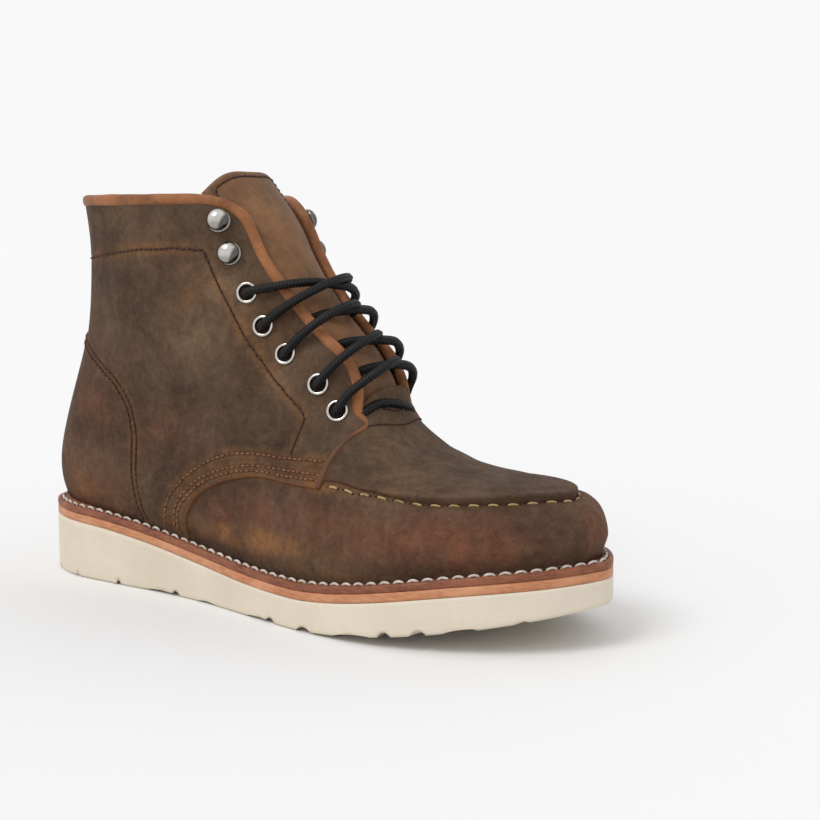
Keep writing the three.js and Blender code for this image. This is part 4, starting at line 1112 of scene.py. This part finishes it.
# Insole
inner_ring = []
for share in np.linspace(0, 1, 70):
    x = 8 + 285 * (1 - math.cos(math.pi * share)) / 2
    near = inner_data[np.abs(inner_data[:, 0] - x) < 3]
    near = near[np.abs(near[:, 2] - (float(midsole_top(x)) + INSOLE)) < 4]
    if len(near) > 3:
        inner_ring.append((x, near[:, 1].min() + WALL + 0.3, near[:, 1].max() - WALL - 0.3))
ring = np.array(inner_ring)
for column in (1, 2):
    ring[:, column] = np.convolve(np.pad(ring[:, column], 3, mode="edge"), np.ones(7) / 7, mode="valid")
across = np.linspace(0, 1, 24)
sag = 0.6 * np.sin(math.pi * across)
rows = [np.column_stack([np.full(24, x), a + (b - a) * across, float(midsole_top(x)) + GAP + INSOLE - sag])
        for x, a, b in ring]
faces = grid_faces(len(rows), 24, closed=False)[:, ::-1]
make_piece("insole_leather", np.vstack(rows), faces, INSOLE_LEATHER, ["insole"], "insole")


# Stitches
def drape(line, tree, lift):
    """Lays a line on a mesh and returns its points and smoothed normals."""
    hits = [tree.find_nearest(Vector(p))[:2] for p in line]
    points = smooth_open(np.array([list(at) for at, _ in hits]), 4)
    normals = np.array([list(normal) for _, normal in hits])
    for _ in range(4):
        normals[1:-1] = (normals[:-2] + normals[1:-1] + normals[2:]) / 3
    normals = unit(normals)
    return points + normals * lift, normals


def stitch_row(points, normals, pitch, length, radius, lift, lean=0.0, sides=6):
    """Separate stitches along a line: short arched threads that dip at both ends."""
    run = running(points)
    count = max(1, int(run[-1] / pitch))
    parts, ends = [], []
    for i in range(count):
        centre = (i + 0.5) * run[-1] / count
        at = centre + np.linspace(-0.5, 0.5, 6) * length
        p = np.stack([np.interp(at, run, points[:, k]) for k in range(3)], -1)
        n = unit(np.stack([np.interp(at, run, normals[:, k]) for k in range(3)], -1))
        t = unit(np.gradient(p, axis=0))
        s = np.cross(t, n)
        u = np.linspace(-1, 1, 6)
        arch = 1 - np.abs(u) ** 3
        line = p + n * (lift * arch - radius * 0.9 * (1 - arch))[:, None] + s * (lean * u)[:, None]
        parts.append(tube_mesh(line, radius * (1 - 0.35 * u**4), sides, n))
        ends.append((p[0] + s[0] * -lean, n[0], t[0]))
        ends.append((p[-1] + s[-1] * lean, n[-1], t[-1]))
    return parts, ends


# Flat dark discs at the stitch ends: painted shade of the needle holes
def hole_meshes(ends, radius):
    parts = []
    angle = 2 * math.pi * np.arange(6) / 6
    for p, n, t in ends:
        s = np.cross(t, n)
        ring = p + n * 0.06 + radius * (np.cos(angle)[:, None] * t * 1.2 + np.sin(angle)[:, None] * s)
        parts.append((ring, [list(range(6))]))
    return parts


def sew(line, tree, parts, radius=0.47, lift=0.32):
    """Adds one machine row, laid on a mesh, to a list of threads."""
    made, ends = stitch_row(*drape(line, tree, 0.05), 2.9, 2.2, radius, lift)
    parts += made
    return ends


outside_tree, vamp_tree = mesh_tree(quarters, vamp, plug), mesh_tree(vamp)
brown, tan, holes = [], [], []
for key in ("facing_outer", "facing_inner", "band_round"):
    holes += sew(seams[key], quarter_tree, brown)
for key in ("wing_upper_outer", "wing_a_outer", "wing_b_outer", "wing_upper_inner", "wing_a_inner", "wing_b_inner"):
    holes += sew(seams[key], quarter_tree, tan)
centre = seams["counter_round"]
sideways = 1.45 * unit(np.cross(unit(np.gradient(centre, axis=0)), drape(centre, quarter_tree, 0)[1]))
for line in (centre + sideways, centre - sideways):
    holes += sew(line, quarter_tree, brown)
holes += sew(tongue_border, tongue_tree, brown, 0.45, 0.3)
# Plug's back rows, across the throat
for reach in (2.6, 6.0):
    back = [(197.5 - 0.014 * y * y + reach, y, 300) for y in np.linspace(-20.5, 20.5, 60)]
    holes += sew(struck(outside_tree, back, DOWN), outside_tree, brown)
make_piece("seam_stitches_brown", *join_meshes(brown), BROWN_THREAD, (), "upper")
make_piece("seam_stitches_tan", *join_meshes(tan), TAN_THREAD, (), "upper")
make_piece("needle_hole_shade", *join_meshes(hole_meshes(holes, 0.42)), HOLE_SHADE_PAINT, (), "upper")

# Hand stitches of the moc seam, at the foot of the plug's lip
seam_points = smooth_line([(a * SOLE_LENGTH, w * BALL_WIDTH / 2) for a, w in MOC_SEAM], 440)
seam_points = seam_points[seam_points[:, 0] > 191]
tangent = unit(np.gradient(seam_points, axis=0))
outward = np.stack([tangent[:, 1], -tangent[:, 0]], -1)
line, normals = [], []
for (x, y), o in zip(seam_points + outward * 0.9, outward):
    hit = vamp_tree.ray_cast(Vector((x, y, 300)), Vector((0, 0, -1)))
    if hit[0] is not None:
        line.append(list(hit[0]))
        normals.append(unit(np.array([o[0] * 0.6, o[1] * 0.6, 1.0])))
parts, ends = stitch_row(np.array(line), np.array(normals), 7.7, 4.9, 0.5, 0.4, lean=0.25, sides=8)
make_piece("moc_stitches", *join_meshes(parts), MOC_THREAD, (), "upper")
make_piece("moc_hole_shade", *join_meshes(hole_meshes(ends, 0.7)), HOLE_SHADE_PAINT, (), "upper")

# White lockstitches of the welt
row = loop + loop_inward * 2.85
line = np.column_stack([row, welt_top(row[:, 0]) - 0.35])
line = np.vstack([line, line[:1]])
normals = np.tile([0.0, 0.0, 1.0], (len(line), 1))
parts, ends = stitch_row(line, normals, 6.2, 5.3, 0.62, 0.85, lean=0.2, sides=8)
make_piece("welt_stitches", *join_meshes(parts), WELT_THREAD, (), "welt")

# Eyelets and hooks
seats = {}
for side, word in ((-1, "outer"), (1, "inner")):
    seats["eyelet_" + word] = [facing_seat(level, side) for level in EYELET_LEVELS]
    seats["hook_" + word] = [facing_seat(level, side) for level in HOOK_LEVELS]


def lathe(profile, seat, lift=0.0, sides=48):
    """Turned piece on the seat's normal; profile rows are (radius, height)."""
    n = seat["normal"]
    s = unit(np.cross(n, [0.0, 0.0, 1.0]))
    t = np.cross(s, n)
    angle = 2 * math.pi * np.arange(sides) / sides
    round_it = np.cos(angle)[:, None] * s + np.sin(angle)[:, None] * t
    rows = [seat["point"] + n * (h + lift) + r * round_it for r, h in profile]
    return np.vstack(rows), grid_faces(len(rows), sides)


EYELET_RING = [(3.3, -0.6), (3.3, 0.0)] + [
    (4.05 + 0.75 * math.cos(a), 0.2 + 0.75 * math.sin(a)) for a in np.linspace(math.pi, -0.25 * math.pi, 16)]
# Turned outlines: radius, height
HOOK_FOOT = [(0.01, 0.9), (1.9, 0.95), (4.0, 0.9), (4.9, 0.65), (5.2, 0.2), (5.2, -0.3)]
HOOK_DOME = [(0.01, 6.5)] + [(4.9 * math.sin(a), 2.9 + 3.6 * math.cos(a)) for a in np.linspace(0.06, 1.5, 34)] + [
    (4.75, 2.3), (4.1, 2.0), (2.4, 1.9), (2.1, 1.2), (2.1, 0.3)]


def dome_painted_reflection_shade(points, seat):
    """Painted dark reflections round a dome's rim, wider on its front side, and painted shade on the dome's lower
    side and on the foot under its head.
    """
    r = points - seat["point"]
    high = r @ seat["normal"]
    flat = r - high[:, None] * seat["normal"]
    reach = np.linalg.norm(flat, axis=1) / (HOOK_HEAD / 2)
    ahead = flat @ unit(np.array([1.0, 0.0, -0.35])) / (HOOK_HEAD / 2)
    below = flat @ np.array([0.0, 0.0, -1.0]) / (HOOK_HEAD / 2)
    rim = smoothstep((reach - 0.72) / 0.25)
    crescent = smoothstep((ahead - 0.25) / 0.3) * smoothstep((1.1 - reach) / 0.1)
    # Painted shade on the dome's lower side
    foot = 0.45 * smoothstep((below - 0.1) / 0.5)
    # Painted shade of 0.55 on the foot under the dome's head
    return np.where(high > 2.6, clamp(np.maximum(np.maximum(0.75 * rim, 0.85 * crescent), foot), 0, 1), 0.55)


parts = []
for word in ("outer", "inner"):
    for i, seat in enumerate(seats["eyelet_" + word]):
        # A flat dark disc in each eyelet: painted shadow of the hole
        parts.append(lathe([(0.01, 0.16), (3.45, 0.16)], seat, 0.0, 24))
        points, faces = lathe(EYELET_RING, seat, 0.25)
        make_piece(f"eyelet_ring_{word}_{i + 1}", points, faces, NICKEL, [f"eyelet_{word}_{i + 1}"], "nickel",
                   {"painted_reflection_and_shade": np.zeros(len(points))})
    for i, seat in enumerate(seats["hook_" + word]):
        points, faces = join_meshes([lathe(HOOK_FOOT, seat, 0.3), lathe(HOOK_DOME, seat, 0.3)])
        make_piece(f"hook_dome_{word}_{i + 1}", points, faces, NICKEL, [f"hook_{word}_{i + 1}"], "nickel",
                   {"painted_reflection_and_shade": dome_painted_reflection_shade(points, seat)})
make_piece("eyelet_shadow", *join_meshes(parts), HOLE_SHADE_PAINT, (), "lace")


# Laces
def braid(line):
    """Round braided cord with herringbone relief in six columns."""
    sides, radius = 30, LACE / 2 * 0.97
    line = resample(line, int(running(line)[-1] / 0.3))
    tangent = unit(np.gradient(line, axis=0))
    side = unit(np.cross(tangent[0], [0.3, 0.2, 1.0]))
    turn = np.arange(sides) / sides
    angle = 2 * math.pi * turn
    column = 6 * turn
    fold = np.abs(column % 2 - 1)
    rows, marks = [], []
    for i, t in enumerate(tangent):
        side = unit(side - t * (side @ t))
        top = np.cross(side, t)
        run = 0.3 * i / 1.5
        weave = 0.5 + 0.5 * np.sin(2 * math.pi * (run + 0.9 * fold))
        high = weave * (0.25 + 0.75 * np.abs(np.sin(math.pi * column)))
        r = radius * (0.84 + 0.21 * high)
        rows.append(line[i] + r[:, None] * (np.cos(angle)[:, None] * side + np.sin(angle)[:, None] * top))
        marks.append(high)
    return np.vstack(rows), tube_faces(len(line), sides), np.concatenate(marks)


def strand_line(low, high, side, outside):
    """Cord from an eyelet up across the throat to the next eyelet on the other side."""
    here, there = ("outer", "inner") if side < 0 else ("inner", "outer")
    start, stop = seats["eyelet_" + here][low], seats["eyelet_" + there][high]
    reach = abs(start["y"])
    top = 0.5 if side < 0 else -0.5

    def on(across, lift):
        place = start["place"] + (stop["place"] - start["place"]) * across ** 0.62
        return front_point(place, side * reach * (1 - 2 * across), lift)

    def through(seat, *heights):
        return [seat["point"] + seat["normal"] * height for height in heights]

    if outside:
        over = [(0.08, 4.6, 0), (0.18, 5.6, 1), (0.32, 5.6, 2.4), (0.5, 5.3, 4.4), (0.66, 5.0, 2.4), (0.8, 4.7, 1),
                (0.92, 4.0, 0)]
        tail = through(stop, 1.4, -0.8, -3.4)
    else:
        over = [(0.07, 4.6, 0), (0.15, 6.0, 1), (0.27, 6.4, 2), (0.4, 5.4, 3.6), (0.52, 3.8, 3.9), (0.63, 1.2, 1.8),
                (0.72, -0.9, 0), (0.8, -3.4, 0), (0.9, -4.6, 0)]
        tail = through(stop, -6.6)
    body = [on(across, lift + share * top) for across, lift, share in over]
    return smooth_line([*through(start, -3.4, -0.8, 1.4), *body, *tail], 200)


for low in range(4):
    for side, word in ((-1, "outer"), (1, "inner")):
        points, faces, strand = braid(strand_line(low, low + 1, side, low == 3))
        make_piece(f"lace_{word}_{low + 1}", points, faces, CORD, [f"lace_cross_{low + 1}"], "lace",
                   {"strand": strand})
bar = [(186, -25.5, 78.5), (191.5, -21.5, 84.8), (195.6, -16.8, 90.4), (197.6, -12, 92.6), (199.2, -4, 92.4),
       (199.5, 4, 90.6), (197.6, 12, 88.0), (192.5, 19.0, 83.5), (186, 24, 78)]
points, faces, strand = braid(smooth_line(bar, 120))
make_piece("lace_low_bar", points, faces, CORD, ["lace_bar"], "lace", {"strand": strand})

# Camera, floor and light
camera_data = bpy.data.cameras.new("camera")
camera = placed("camera", camera_data)
camera.location = (0.4131, -0.5204, 0.171)
camera.rotation_euler = (math.radians(90 - 7.35), 0, math.radians(34.5))
camera_data.lens = 64.98
camera_data.sensor_width = 36
camera_data.clip_start = 0.01
scene.camera = camera
scene.view_settings.view_transform = "Standard"

floor_mesh = bpy.data.meshes.new("floor")
floor_mesh.from_pydata([(-9, -9, 0), (9, -9, 0), (9, 9, 0), (-9, 9, 0)], [], [(0, 1, 2, 3)])
floor = placed("floor", floor_mesh)
paper = Nodes("studio_floor", roughness=1.0, specular=0.0)
paper.tint = paper.mix(paper.noise(3), (0.763,) * 3, (0.769,) * 3)
floor_mesh.materials.append(paper.finish(None))

world = bpy.data.worlds.new("world")
scene.world = world
world.use_nodes = True
background = world.node_tree.nodes["Background"]
background.inputs["Color"].default_value = (1, 1, 1, 1)
background.inputs["Strength"].default_value = 0.94

sun = bpy.data.lights.new("key", "SUN")
sun.energy = 1.2
sun.angle = math.radians(28)
key = placed("key", sun)
key.rotation_euler = Vector((0.186, 0.613, -0.8)).to_track_quat("-Z", "Y").to_euler()
